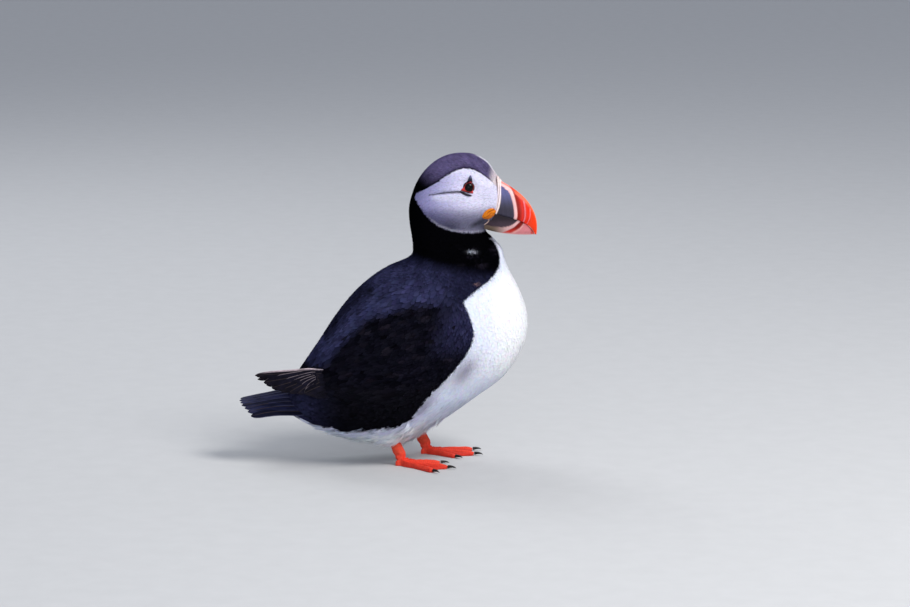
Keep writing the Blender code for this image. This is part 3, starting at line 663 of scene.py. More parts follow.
def dark_colour(points):
    """Colours of the mantle, wings, flanks and collar."""
    x, y, z = points.T
    streaks = ripple(points * STREAKED, 5.0, 14)
    wing = layered(WING_BLACK * (1 + 0.45 * streaks)[:, None], [
        (0.35 * rise(streaks, 0.25, 0.6), WING_BROWN),
        # towards the wing's upper front: painted blue sheen
        (ease((x - 24 - 0.3 * (z - 90)) / 22) * rise(z, 74, 20), WING_SHEEN),
    ])
    # a lighter spot on the upper edges of the tertials: painted highlight
    tertial_highlight = spot((x + 25.5 - 0.5 * (z - 91.5)) / 2.6, (z - 91.5) / 7.0)
    gap, _ = line_distance(points[:, [0, 2]], DARK_STREAK)
    clouds = 1 + 0.30 * ripple(points, 13.0, 13) + 0.12 * streaks
    # the mantle's blue is painted sheen on black plumage, less on the shoulder and more low at the
    # rear
    mantle = layered(MANTLE_BLACK_SHEEN * clouds[:, None], [
        (rise(x, 26, 24) * rise(z, 96, 15), MANTLE_BLACK_SHEEN * 0.50),
        (0.35 * tertial_highlight, MANTLE_BLACK_SHEEN * 1.7),
        (0.85 * hump(gap, 0, 3.6) * (0.8 + 0.2 * streaks), WING_BLACK),
    ])
    rows = ease(ripple(points * IN_ROWS, 4.0, 16) - 0.1) * rise(x, 42, 20) * fall(z, 156, 12)
    right = y < 0
    return layered(wing, [
        (ease(0.5 - outline_distance(points[:, [0, 2]], WING_OUTLINE) / 7.0), mantle),
        # black low on the flank: the dark thigh patch, with painted shadow under the wing
        (fall(z, 66, 16) * fall(x, 42, 12), FLANK_BLACK),
        (0.7 * (hump(x, -60, 16) * fall(z, 58, 12)), MANTLE_BLACK_SHEEN),
        (ease((z - 136 + 0.19 * (x - 17)) / 10), COLLAR_BLACK + COLLAR_SHEEN * rows[:, None]),
        (0.9 * spot((x - 57.0) / 2.6, (z - 146.6 + 0.1 * (x - 57)) / 0.8) * right, COLLAR_FLECK),
        (0.8 * spot((x - 60.5) / 1.6, (z - 126.4) / 0.7) * right, SHOULDER_FLECK),
    ])


def light_colour(points, white):
    """Colours of the underparts, white being the distance inside them."""
    x, z = points[:, 0], points[:, 2]
    inside = np.maximum(white, 0)
    along, aside = slanted(x, z, SMUDGE_AT, SMUDGE_WAY)
    fringe = spot((x - 25.0 - 0.85 * (z - 43.5)) / 4.0, (z - 43.5) / 8.0)
    light = layered(WHITE, [
        # whiter towards the front of the breast: painted light
        (rise(x, 62, 24), WHITE_LIT),
        # lilac lower down and beside the dark edge: painted shade
        (0.9 * fall(z, 72, 34), LILAC_SHADE),
        (0.9 * fall(z, 40, 16) * fall(x, 40, 30), LILAC_SHADE * 1.15),
        (0.7 * np.exp(-inside / 6.0) * rise(z, 60, 20), LILAC_SHADE),
        (0.80 * spot(along / 12.0, aside / 5.5), STAIN_AND_SHADE_BROWN),
        (0.70 * fringe, STAIN_AND_SHADE_BROWN * 1.25),
        # grey-brown along the white's edge low on the flank: painted shade
        (0.45 * (np.exp(-inside / 3.0) * fall(z, 75, 25)), STAIN_AND_SHADE_BROWN),
    ])
    return light * (1 + 0.025 * ripple(points, 6.0, 15))[:, None]


def markings(points):
    """Linear colour of the plumage at each point of the row frame."""
    z = points[:, 2]
    head = to_head(points)
    ahead, across = head[:, 0], head[:, 1]
    rough = between(0.30, 1.7, fall(z, 66, 26))
    edge_noise = rough * (0.8 * ripple(points, 5.0, 11) + 0.5 * ripple(points, 2.0, 12))
    white, face = white_edge(points) + edge_noise, face_edge(head)
    crown = CROWN_BROWN * (1 + 0.2 * ripple(head, 6.0, 7) + 0.15 * ripple(head, 2.2, 8))[:, None]
    # a pale strip along the top of the forehead: painted rim light
    lit_rim = rise(across, -1.8, 1.2) * fall(across, 7.5, 2.5) * rise(ahead, 57, 7) * rise(z, 190, 4)
    thick = between(0.8, 1.5, fall(ahead, 66, 8))
    border = hump(face, 0, thick) * (z > 165) * fall(ahead, 75.5, 6)
    return np.clip(layered(dark_colour(points), [
        (ease(white / 1.2 + 0.5), light_colour(points, white)),
        (ease((z - 178 - 0.34 * (60 - ahead)) / 16), crown),
        (0.9 * lit_rim, FOREHEAD_RIM_LIGHT),
        (0.95 * (rise(ahead, 69.5, 5.5) * rise(z, 188, 4)), FOREHEAD_CREAM),
        (0.9 * border, COLLAR_BLACK),
        (ease(face / 0.5 + 0.5 + 0.25 * edge_noise) * (z > 156), face_colour(head)),
    ]), 0.0008, 0.95)


# ------- skin

def body_tube(name, first, last, share=None):
    """A closed length of the body, twisted at the neck or wholly turned."""
    rows = curve_through(STATIONS, np.linspace(first, last, (last - first) * RINGS_PER_STATION + 1))
    angle = np.linspace(0, 2 * math.pi, BODY_AROUND, endpoint=False)
    power = 2 / SECTION_POWER
    along, across = (np.sign(w) * np.abs(w) ** power for w in (np.cos(angle), np.sin(angle)))
    back_x, back_z, front_x, front_z, half, narrow = (rows[:, [k]] for k in range(6))
    f = 0.5 + 0.5 * along
    across = half * across * (1 - narrow * along)
    rings = np.stack([between(back_x, front_x, f), across, between(back_z, front_z, f)], -1)
    return ring_mesh(name, turned(rings, neck_turn(rings[..., 2]) if share is None else share))


def neck_turn(z):
    """The share of the head's turn that the body has taken at a height."""
    return ease((z - TWIST_FROM) / (TWIST_TO - TWIST_FROM))


def cut_away(mesh, point, normal):
    """Removes what lies on the normal's side of a plane and closes the cut."""
    with edited(mesh) as work:
        everything = work.verts[:] + work.edges[:] + work.faces[:]
        plane = {"plane_co": Vector(point) * MM, "plane_no": Vector(normal)}
        result = bmesh.ops.bisect_plane(work, geom=everything, clear_outer=True, **plane)
        rim = [e for e in result["geom_cut"] if isinstance(e, bmesh.types.BMEdge)]
        bmesh.ops.holes_fill(work, edges=rim, sides=0)
        bmesh.ops.recalc_face_normals(work, faces=work.faces)


def face_plane():
    """A point on the plane where the feathers end at the bill, and its normal, in the row frame."""
    (chin_x, chin_z), (brow_x, brow_z) = FACE_CHIN, FACE_BROW
    normal = np.array([brow_z - chin_z, 0.0, chin_x - brow_x])
    point = from_head(np.array([[chin_x, 0.0, chin_z]]))[0]
    ahead = from_head(np.array([[chin_x, 0.0, chin_z] + normal]))[0] - point
    return point, unit(ahead)


def egg(name, middle, halves):
    """A smooth egg by its middle and half sizes."""
    mesh = bpy.data.meshes.new(name)
    with edited(mesh) as work:
        bmesh.ops.create_icosphere(work, subdivisions=4, radius=1.0)
        for vert in work.verts:
            vert.co = Vector(np.array(middle) + np.array(vert.co) * halves) * MM
    return mesh


def egg_in(node):
    """A smooth egg that fills a CAD node's box."""
    low, high = box_corners(node)
    return egg(node, (low + high) / 2, (high - low) / 2)


class Eye:
    """Where one eye is: its centre, the way it looks, and the axes of the face round it."""

    def __init__(self, side_name, tree):
        self.name, self.side = side_name, SIDES[side_name]
        low, high = box_corners("eye_" + side_name)
        self.centre = (low + high) / 2
        self.radius = float(np.max(high - low)) / 2
        place, _, _ = nearest(tree, self.centre[None])
        self.out = unit(place[0] - self.centre)
        ahead = np.array([math.cos(-HEAD_TURN), math.sin(-HEAD_TURN), 0.0])
        self.along = unit(ahead - self.out * (ahead @ self.out))
        self.up = np.cross(self.out, self.along)
        if self.up[2] < 0:
            self.up = -self.up

    def flat(self, points):
        """Points as distances along, up and out from the eye's centre."""
        gap = points - self.centre
        return gap @ self.along, gap @ self.up, gap @ self.out

    def spread(self, points):
        """Distances in the plane of the eye from its centre, and whether points are in front."""
        along, up, out = self.flat(points)
        return np.hypot(along, up), out > 0

    def place(self, along, up, out):
        along, up, out = (np.asarray(v, float)[..., None] for v in (along, up, out))
        return self.centre + along * self.along + up * self.up + out * self.out


def face_relief(points, eyes):
    """How far the face stands out of or into its plain shape: sockets, brow, crease and cheek."""
    head = to_head(points)
    x, z = head[:, 0], head[:, 2]
    height = np.zeros(len(points))
    for eye in eyes:
        near = points[:, 1] - HEAD_PIVOT[1] + 0.25 * (points[:, 0] - HEAD_PIVOT[0])
        r, before = eye.spread(points)
        hollow = -1.0 * fall(r, 7.4, 3.2) - 2.6 * fall(r, 4.0, 1.2)
        height += np.where((near * eye.side > 0) & before, hollow, 0.0)
    gap, along = line_distance(head[:, [0, 2]], CREASE)
    fade = ease(along * 6 + 0.3) * ease((1 - along) * 2.5) * (np.abs(head[:, 1]) > 6)
    crease = np.array(CREASE[::-1])
    below = gap * np.sign(z - np.interp(x, crease[:, 0], crease[:, 1]))
    folds = ((gap, 0, 0.85, -0.75), (below, -2.4, 1.6, 0.45), (below, 2.2, 1.6, 0.30))
    for place, at, width, depth in folds:
        height += depth * hump(place, at, width) * fade
    return height


def fuller(points):
    """Points moved forwards where the face swells round the bill and the breast stands out."""
    head = to_head(points)
    ahead, high = head[:, 0], head[:, 2]
    swell = np.maximum(1 - ((high - 180.0) / 13.5) ** 2, 0) * rise(ahead, 66, 8)
    chin = fall(high, 169, 7) * rise(high, 153.5, 7) * rise(ahead, 62, 9)
    head[:, 0] += 3.2 * swell - 2.8 * chin
    moved = from_head(head)
    x, _, z = points.T
    moved[:, 0] += 2.4 * hump(z, 147, 7.5) * rise(x, 58, 14)
    moved[:, 0] += 1.8 * hump(z, 84, 26) * rise(x, 62, 20)
    return moved


def coat_depth(points):
    """Depth of the coat over the skin."""
    ahead, z = to_head(points)[:, 0], points[:, 2]
    depth = between(1.1, 0.8, rise(z, 110, 35))
    depth = between(depth, 0.7, rise(z, 150, 10))
    return between(depth, 0.35, rise(ahead, 64, 8) * rise(z, 154, 6))


def refine_face(mesh):
    """Splits the faces of both cheeks once, so that folds show."""
    x, y, z = to_head(points_of(mesh)).T
    wanted = (x > 30) & (z > 160) & (z < 204) & (np.abs(y) > 5)
    with edited(mesh) as work:
        edges = [e for e in work.edges if wanted[e.verts[0].index] and wanted[e.verts[1].index]]
        bmesh.ops.subdivide_edges(work, edges=edges, cuts=1, use_grid_fill=True)
        bmesh.ops.triangulate(work, faces=[f for f in work.faces if len(f.verts) > 4])


def plain_skin():
    """The body's outer shape as one skin: trunk, neck, head, wing arms and thighs."""
    body = body_tube("body", 0, CHEEK)
    cut_away(body, (0, 0, NECK_TOP), (0, 0, 1))
    head = body_tube("head", THROAT, CROWN, 1.0)
    point, normal = face_plane()
    cut_away(head, point, normal)
    meshes = [body, head]
    meshes += [node_mesh("wing_" + name) for name in SIDES]
    meshes += [egg_in("thigh_" + name) for name in SIDES]
    return remeshed(meshes, SKIN_VOXEL, SKIN_SMOOTHING)


def unwrap(mesh):
    """A map of the mesh's own shape, named OFBake."""
    obj = add_object("unwrapping", mesh)
    bpy.context.view_layer.objects.active = obj
    obj.select_set(True)
    mesh.uv_layers.new(name="OFBake")
    bpy.ops.object.mode_set(mode="EDIT")
    bpy.ops.mesh.select_all(action="SELECT")
    bpy.ops.uv.smart_project(angle_limit=math.radians(70), island_margin=0.002)
    bpy.ops.object.mode_set(mode="OBJECT")
    bpy.data.objects.remove(obj)


class Skin:
    """The finished skin, with what is needed to set feathers on it."""

    def __init__(self):
        mesh = plain_skin()
        refine_face(mesh)
        plain = fuller(points_of(mesh))
        set_points(mesh, plain)
        faces = [tuple(p.vertices) for p in mesh.polygons]
        plain_tree = BVHTree.FromPolygons(plain.tolist(), faces)
        self.eyes = [Eye(name, plain_tree) for name in SIDES]
        relief = face_relief(plain, self.eyes) - coat_depth(plain)
        set_points(mesh, plain + normals_of(mesh) * relief[:, None])
        self.mesh = mesh
        with edited(mesh) as work:
            bmesh.ops.triangulate(work, faces=work.faces)
        unwrap(mesh)
        self.points, self.normals = points_of(mesh), normals_of(mesh)
        self.triangles = gathered(mesh.loops, "vertex_index", 1, np.int32).reshape(-1, 3)
        maps = gathered(mesh.uv_layers["OFBake"].data, "uv", 2)
        self.maps = maps.reshape(-1, 3, 2).astype(float)
        self.tree = BVHTree.FromPolygons(self.points.tolist(), self.triangles.tolist())
        self.face_normals = unit(self.normals[self.triangles].mean(axis=1))

    def nearest(self, points):
        places, _, faces = nearest(self.tree, points)
        return places, self.face_normals[faces], faces

    def scatter(self, count, seed):
        """Even random places on the skin, with their triangles and places on the unwrap."""
        draw = np.random.default_rng(seed)
        a, b, c = (self.points[self.triangles[:, k]] for k in range(3))
        area = np.linalg.norm(np.cross(b - a, c - a), axis=1)
        picked = draw.choice(len(area), count, p=area / area.sum())
        u, v = draw.random((2, count))
        over = u + v > 1
        u, v = np.where(over, 1 - u, u), np.where(over, 1 - v, v)
        shares = np.stack([1 - u - v, u, v], 1)[:, :, None]
        places = (self.points[self.triangles[picked]] * shares).sum(axis=1)
        maps = (self.maps[picked] * shares).sum(axis=1)
        return places, self.face_normals[picked], maps


skin = Skin()


# ------- lie of the coat

# Place x, z on the bird and the way x, z that its feathers point, above the neck in the head frame
LIE = np.array((
    (74, 190, -1, 0.1), (66, 200, -1, 0.4), (50, 208, -1, 0.02), (32, 203, -0.9, -0.35),
    (19, 186, -0.35, -1), (16, 168, -0.15, -1), (60, 180, -1, -0.1), (45, 190, -1, -0.02),
    (45, 172, -0.95, -0.35), (60, 165, -0.85, -0.55), (68, 160, -0.6, -0.8), (60, 150, -0.2, -1),
    (40, 148, -0.25, -1), (18, 148, -0.4, -1), (74, 145, -0.05, -1), (5, 134, -0.85, -0.6),
    (-20, 116, -0.75, -0.7), (40, 128, -0.55, -0.85), (55, 112, -0.35, -1), (88, 118, 0.05, -1),
    (92, 95, -0.1, -1), (84, 70, -0.5, -0.9), (62, 48, -0.8, -0.65), (35, 26, -1, -0.3),
    (5, 18, -1, -0.15), (-30, 20, -1, 0.12), (-60, 32, -1, 0.15), (5, 60, -1, -0.25),
    (-35, 45, -1, -0.1), (-45, 80, -0.8, -0.6), (-62, 52, -1, -0.15), (70, 75, -0.5, -0.9),
    (58, 90, -0.35, -1), (48, 72, -0.7, -0.75), (30, 56, -0.9, -0.45), (10, 100, -0.9, -0.45),
    (-20, 80, -0.92, -0.4),
))
LIE_REACH = 11.0


def lie(points, normals):
    """The way the coat lies at each point, in the tangent plane."""
    x, z = points[:, 0], points[:, 2]
    share = neck_turn(z)
    flat_x = between(x, to_head(points)[:, 0], share)
    gap = (flat_x[:, None] - LIE[:, 0]) ** 2 + (z[:, None] - LIE[:, 1]) ** 2
    weight = 1.0 / (gap + LIE_REACH**2) ** 2
    way = weight @ LIE[:, 2:] / weight.sum(axis=1, keepdims=True)
    full = np.stack([way[:, 0], np.zeros(len(x)), way[:, 1]], 1)
    full[:, 1] += 0.25 * np.sign(points[:, 1]) * fall(z, 40, 30) * rise(x, -20, 40)
    pivot = np.array([*HEAD_PIVOT, 0.0])
    turned_way = turned(full + pivot, share) - pivot
    return unit(turned_way - normals * dot(turned_way, normals))


# ------- one feather's shape

# Points as (along 0..1, across -1..1, lift), and triangles
Vane = namedtuple("Vane", "points triangles")


def vane_from(points, triangles):
    return Vane(np.array(points, float), np.array(triangles))


def grid(rows, wide, start=0):
    """Triangles of rows of points, wide points in each."""
    corners = [start + r * wide + c for r in range(rows - 1) for c in range(wide - 1)]
    return [t for a in corners for t in ((a, a + 1, a + wide + 1), (a, a + wide + 1, a + wide))]


def ribbon(points, triangles, line, width, lift):
    """Adds a tapering strip along a line of (along, across)."""
    start, last = len(points), len(line) - 1
    for k, (u, v) in enumerate(line[:-1]):
        half = width * (1 - 0.55 * k / last) / 2
        points += [(u, v - half, lift), (u, v + half, lift)]
    points.append((*line[-1], lift))
    triangles += grid(last, 2, start)
    end = start + 2 * (last - 1)
    triangles.append((end, end + 1, end + 2))


def tuft(draw, barbs, spread, raggedness):
    """A few loose barbs that fan out from one root."""
    points, triangles = [], []
    for k in range(barbs):
        across = 2 * (k + 0.5) / barbs - 1 + draw.uniform(-0.12, 0.12)
        tip = 1 - 0.18 * across**2 - draw.uniform(0, raggedness)
        line = [(0.0, 0.30 * across)]
        line += [(u * tip, across * spread * v) for u, v in ((0.35, 0.60), (0.7, 0.92), (1.0, 1.0))]
        ribbon(points, triangles, line, 2.5 / barbs, draw.uniform(-0.12, 0.12))
    return vane_from(points, triangles)


def contour(draw, barbs, raggedness):
    """A vane that is whole to two thirds of its length and ends in barbs."""
    points = []
    for u, half in ((0.0, 0.35), (0.3, 0.85), (0.66, 1.0)):
        points += [(u, -half, -0.1), (u, 0.0, 0.06), (u, half, -0.1)]
    triangles = grid(3, 3)
    for k in range(barbs):
        across = 2 * (k + 0.5) / barbs - 1
        tip = 1 - 0.22 * across**2 - draw.uniform(0, raggedness)
        line = [(0.55, across * 0.93), (0.8 * tip, across * 0.90), (tip, across * 0.72)]
        ribbon(points, triangles, line, 2.5 / barbs, draw.uniform(-0.05, 0.10))
    return vane_from(points, triangles)


def covert(draw, columns, rows, notches):
    """A firm rounded vane with a shaft line and a few splits."""
    points = []
    cuts = draw.uniform(-0.9, 0.9, notches)
    for r in range(rows + 1):
        u = r / rows
        half = min(1.0, 0.45 + 1.3 * u) * math.sqrt(max(1 - max(u - 0.55, 0) ** 2 / 0.215, 0.0))
        for c in range(columns + 1):
            v = 2 * c / columns - 1
            reach = 1 - 0.05 * min(abs(v - cut) < 0.12 for cut in cuts)
            shaft = 0.10 if c * 2 == columns else 0.0
            points.append((u * reach - 0.03 * abs(v), v * half, shaft - 0.22 * v * v))
    return vane_from(points, grid(rows + 1, columns + 1))


def kinds(make, count, seed):
    """Several feathers of one kind that differ a little."""
    draw = np.random.default_rng(seed)
    return [make(draw) for _ in range(count)]


FACE_TUFTS = kinds(lambda draw: tuft(draw, 4, 0.9, 0.18), 5, 21)
NECK_TUFTS = kinds(lambda draw: tuft(draw, 5, 1.0, 0.22), 5, 22)
BODY_VANES = kinds(lambda draw: contour(draw, 5, 0.16), 6, 23)
WING_VANES = kinds(lambda draw: covert(draw, 4, 5, 2), 4, 24)
LOOSE_TUFTS = kinds(lambda draw: tuft(draw, 6, 1.0, 0.40), 6, 25)


# ------- regions of the coat

Region = namedtuple("Region", "name spacing length half tip vanes spread tint")

# Spacing, length, half width and height of the tip; kind; how much the ways and tints vary
REGIONS = [
    Region("face", 0.52, 2.3, 0.44, 0.36, FACE_TUFTS, 0.10, 0.035),
    Region("crown", 0.62, 2.8, 0.50, 0.48, FACE_TUFTS, 0.10, 0.08),
    Region("neck", 0.86, 4.0, 0.76, 0.80, NECK_TUFTS, 0.14, 0.14),
    Region("mantle", 1.30, 5.8, 1.40, 1.05, BODY_VANES, 0.12, 0.20),
    Region("breast", 1.05, 5.2, 1.10, 0.70, BODY_VANES, 0.12, 0.020),
    Region("belly", 1.15, 7.5, 1.15, 1.20, LOOSE_TUFTS, 0.26, 0.06),
    Region("flank", 1.30, 6.8, 1.30, 1.15, BODY_VANES, 0.16, 0.25),
    Region("wing", 1.45, 6.4, 1.65, 0.75, WING_VANES, 0.07, 0.25),
]
REGION = {region.name: k for k, region in enumerate(REGIONS)}

wing_trees = {name: tree_of([node_mesh("wing_" + name)]) for name in SIDES}


def region_of(points):
    """The number of the region that each point of the skin is in."""
    x, y, z = points.T
    white, face = white_edge(points), face_edge(to_head(points))
    number = np.full(len(points), REGION["mantle"])
    number[(z < 62) & (x < 40)] = REGION["flank"]
    number[white > 0] = REGION["breast"]
    number[(white > 0) & (z < 48)] = REGION["belly"]
    number[(white > -2.5) & (z < 30)] = REGION["belly"]
    for name, side in SIDES.items():
        near = np.flatnonzero((y * side > 8) & (z > 42) & (z < 128))
        gap = gap_to(wing_trees[name], points[near])
        number[near[(gap < 2.6) & (white[near] < 0.3)]] = REGION["wing"]
    number[(z > 134 + 0.10 * (60 - x)) & ((white < 0) | (z > 150))] = REGION["neck"]
    number[z > 157] = REGION["crown"]
    number[(face > -0.5) & (z > 156.5)] = REGION["face"]
    return number


def growth(number, points):
    """Spacing, length, half width and tip height at each point, eased for its place."""
    x, z = points[:, 0], points[:, 2]
    spacing, length, half, tip = np.array([region[1:5] for region in REGIONS])[number].T
    on_wing = number == REGION["wing"]
    near_edge = ease((x - 18 - 0.5 * (z - 80)) / 40) * on_wing
    size = 1 + 0.75 * (fall(x, 50, 90) * on_wing) - 0.25 * near_edge
    bill = rise(to_head(points)[:, 0], 62, 12) * (z > 156)
    size *= 1 - 0.42 * bill
    tip = tip * (1 - 0.35 * bill)
    for eye in skin.eyes:
        r, before = eye.spread(points)
        close = fall(r, 8.5, 4) * before
        size *= 1 - 0.35 * close
        tip = tip * (1 - 0.45 * close)
    size *= 1 - 0.40 * fall(np.abs(white_edge(points)), 4.5, 3) * (z > 45)
    size *= np.where(number == REGION["mantle"], between(0.75, 1.25, fall(z, 125, 50)), 1)
    return spacing * np.where(on_wing, size**0.8, size), length * size, half * size, tip


def spread_out(points, radii):
    """Which points to keep, so that none is nearer another than its own radius."""
    cells = np.floor(points / float(radii.max())).astype(int).tolist()
    near = [(a, b, c) for a in (-1, 0, 1) for b in (-1, 0, 1) for c in (-1, 0, 1)]
    kept, filled = [], {}
    for k, (x, y, z) in enumerate(points.tolist()):
        limit = radii[k] ** 2
        cx, cy, cz = cells[k]
        others = (o for dx, dy, dz in near for o in filled.get((cx + dx, cy + dy, cz + dz), ()))
        if any((x - ox) ** 2 + (y - oy) ** 2 + (z - oz) ** 2 < limit for ox, oy, oz in others):
            continue
        kept.append(k)
        filled.setdefault((cx, cy, cz), []).append((x, y, z))
    return np.array(kept)


# ------- growing the coat

WALK = 4        # steps that a feather's middle line takes over the skin


# Where feathers stand: places, normals, ways, sizes and places on the unwrap
Roots = namedtuple("Roots", "places normals ways length half tip maps")


def middle_lines(roots, stiff):
    """Places, normals and ways at each step of each feather, walked over the skin."""
    place, normal, way = roots.places, roots.normals, roots.ways
    step = roots.length[:, None] / WALK
    lines = [(place, normal, way)]
    for _ in range(WALK):
        onward = place + way * step
        found, facing, _ = skin.nearest(onward)
        facing = unit(normal * stiff + facing * (1 - stiff))
        sink = dot(found - onward, facing)
        place = onward + facing * sink * (1 - stiff)
        here = lie(place, facing)
        way = unit(way - facing * dot(way, facing))
        way = unit(way * 0.7 + here * 0.3)
        normal = facing
        lines.append((place, normal, way))
    return [np.stack(rows, axis=1) for rows in zip(*lines)]


PATCH = 0.003     # size of a feather's patch on the unwrap


def each(rows):
    """Rows with room for a feather's points and their coordinates."""
    return rows[:, None, None]


def grow(name, roots, vanes, look, seed, stiff=0.15, tint=0.10):
    """One joined mesh of feathers."""
    draw = np.random.default_rng(seed)
    count = len(roots.places)
    places, normals, ways = middle_lines(roots, stiff)
    across = np.cross(normals, ways)
    seen = places[:, -2] + normals[:, -2] * roots.tip[:, None]
    vary = 1 + tint * draw.normal(size=(count, 1)) + 0.03 * draw.normal(size=(count, 3))
    colours = markings(seen) * vary
    kind = draw.integers(0, len(vanes), count)
    height = roots.tip * draw.uniform(0.8, 1.2, count)
    parts, start = [], 0
    for k, vane in enumerate(vanes):
        own = np.flatnonzero(kind == k)
        u, v, lift = (column[None, :, None] for column in vane.points.T)
        inside = np.clip(u, 0, 1)
        low = np.minimum((inside * WALK).astype(int), WALK - 1)
        f = inside * WALK - low
        low = low.ravel()

        def along(rows):
            return rows[own][:, low] * (1 - f) + rows[own][:, low + 1] * f

        half = each(roots.half[own])
        lifted = (-0.30 + 1.30 * inside**0.8) * each(height[own]) + lift * half * 0.8
        beyond = (u - inside) * each(roots.length[own])
        points = along(places) + along(ways) * beyond + along(across) * v * half
        points = points + along(normals) * lifted
        shape = (len(own), u.size, 1)
        own_vane = [np.broadcast_to(part, shape) for part in (u, v, each(draw.random(len(own))))]
        patch = np.concatenate([u - 0.5, 0.5 * v], 2) * PATCH + roots.maps[own][:, None]
        parts.append((
            points.reshape(-1, 3),
            (vane.triangles[None] + start + each(np.arange(len(own))) * u.size).reshape(-1, 3),
            np.repeat(colours[own], u.size, axis=0),
            np.concatenate(own_vane, 2).reshape(-1, 3),
            patch.reshape(-1, 2),
        ))
        start += len(own) * u.size
    points, triangles, paint, vane_rows, maps = (np.concatenate(rows) for rows in zip(*parts))
    mesh = triangle_mesh(name, points, triangles)
    set_paint(mesh, paint)
    set_vane(mesh, vane_rows)
    layer = mesh.uv_layers.new(name="OFBake")
    maps = np.clip(maps[triangles.ravel()], 0.0, 1.0)
    layer.data.foreach_set("uv", maps.astype(np.float32).ravel())
    return add_object(name, mesh, look)


def make_coat_look():
    look = Nodes("feathers")
    vane = look.vane()
    light = look.node("ShaderNodeRGBToBW", {"Color": look.attribute("paint")}).outputs[0]
    root_shade = look.ramp(light, 0.05, 0.45, 0.60, 0.93)
    tip_shade = look.ramp(light, 0.05, 0.45, 1.30, 1.05)
    barbs = look.barbs(vane, 9.0, -4.0, 6.3)
    look.set(
        Base_Color=look.painted(
            look.ramp(vane["X"], 0.0, 1.0, root_shade, tip_shade),
            look.ramp(barbs, -1.0, 1.0, 0.95, 1.03),
        ),
        Roughness=look.ramp(look.noise(look.place(), 900.0, 2.0), 0.3, 0.7, 0.80, 0.95),
        Normal=look.bump(barbs, 0.15, 0.00005),
        Specular_IOR_Level=0.0,
    )
    return look.material


def make_flight_look(name, rim_colour, rim_from, both_edges):
    """Firm feathers: slanting barbs, a dark shaft and a paler rim on one edge or both."""
    look = Nodes(name)
    vane = look.vane()
    side = look.math("ABSOLUTE", vane["Y"]) if both_edges else vane["Y"]
    barbs = look.barbs(vane, 150.0, -26.0, 3.1)
    patchy = look.ramp(look.noise(look.place((0.3, 1, 1)), 500.0), 0.35, 0.65, 0.6, 1.25)
    rim_wear = look.ramp(patchy, 0.6, 1.0, 0.45, 1.0)
    rim = look.math("MULTIPLY", look.ramp(side, rim_from, rim_from + 0.07), rim_wear)
    shaft_gap = look.math("ABSOLUTE", look.math("ADD", vane["Y"], -0.12))
    shaft = look.ramp(shaft_gap, 0.035, 0.07, 1.0, 0.0)
    height = look.math("ADD", look.math("MULTIPLY", barbs, 0.3), look.math("MULTIPLY", shaft, 2.0))
    barred = look.painted(patchy, look.ramp(barbs, -1.0, 1.0, 0.85, 1.12))
    colour = look.mix(rim, barred, rim_colour, "LIGHTEN")
    look.set(
        Base_Color=look.mix(shaft, colour, (0.035, 0.026, 0.026)),
        Roughness=look.ramp(patchy, 0.6, 1.25, 0.42, 0.6),
        Normal=look.bump(height, 0.3, 0.00012),
        Specular_IOR_Level=0.05,
    )
    return look.material


COAT_CANDIDATES, WISP_CANDIDATES = 400000, 40000
ROSETTE_AT, ROSETTE_TILT = (71.3, 171.9), math.radians(33)
ROSETTE_WAY = (math.cos(ROSETTE_TILT), math.sin(ROSETTE_TILT))


def rosette_places(head):
    """Places along and up a rosette from its middle."""
    return slanted(head[:, 0], head[:, 2], ROSETTE_AT, ROSETTE_WAY)


def bare(points):
    """Whether each point of the skin lies under an eye's fittings or a rosette."""
    found = np.zeros(len(points), bool)
    for eye in skin.eyes:
        a, u, o = eye.flat(points)
        flat = np.stack([a, u], 1)
        ring = np.hypot(a, u) < ring_reach(np.arctan2(u, a)) - 0.35
        plates = np.maximum(*(outline_distance(flat, outline) for outline in (SPIKE, BAR))) > 0.25
        found |= (ring | plates) & (o > 0)
    along, up = rosette_places(to_head(points))
    return found | (np.hypot(along / 5.6, up / 2.9) < 1)


def make_coat(look):
    """Feathers over the whole skin, in a piece for each region and side."""
    places, normals, maps = skin.scatter(COAT_CANDIDATES, 31)
    grown = ~bare(places)
    places, normals, maps = places[grown], normals[grown], maps[grown]
    number = region_of(places)
    sizes = growth(number, places)
    keep = []
    for k in range(len(REGIONS)):
        own = np.flatnonzero(number == k)
        keep.append(own[spread_out(places[own], sizes[0][own])])
    keep = np.concatenate(keep)
    places, normals, maps, number, _, length, half, tip = (
        rows[keep] for rows in (places, normals, maps, number, *sizes)
    )
    draw = np.random.default_rng(32)
    ways = lie(places, normals)
    spread = np.array([region.spread for region in REGIONS])[number] * draw.normal(size=len(keep))
    ways = unit(ways * np.cos(spread)[:, None] + np.cross(normals, ways) * np.sin(spread)[:, None])
    length = length * draw.uniform(0.85, 1.15, len(keep))
    roots = Roots(places, normals, ways, length, half, tip, maps)
    for k, region in enumerate(REGIONS):
        for side_name, side in SIDES.items():
            own = (number == k) & (places[:, 1] * side > 0)
            name = "coat_" + region.name + "_" + side_name
            chosen = Roots(*(rows[own] for rows in roots))
            piece = grow(name, chosen, region.vanes, look, 40 + k, tint=region.tint)
            settle(piece, "plumage_black")


# ------- larger and looser feathers

LARGE_VANES = kinds(lambda draw: covert(draw, 6, 9, 3), 4, 26)
WISP_VANES = kinds(lambda draw: tuft(draw, 7, 1.3, 0.45), 6, 27)


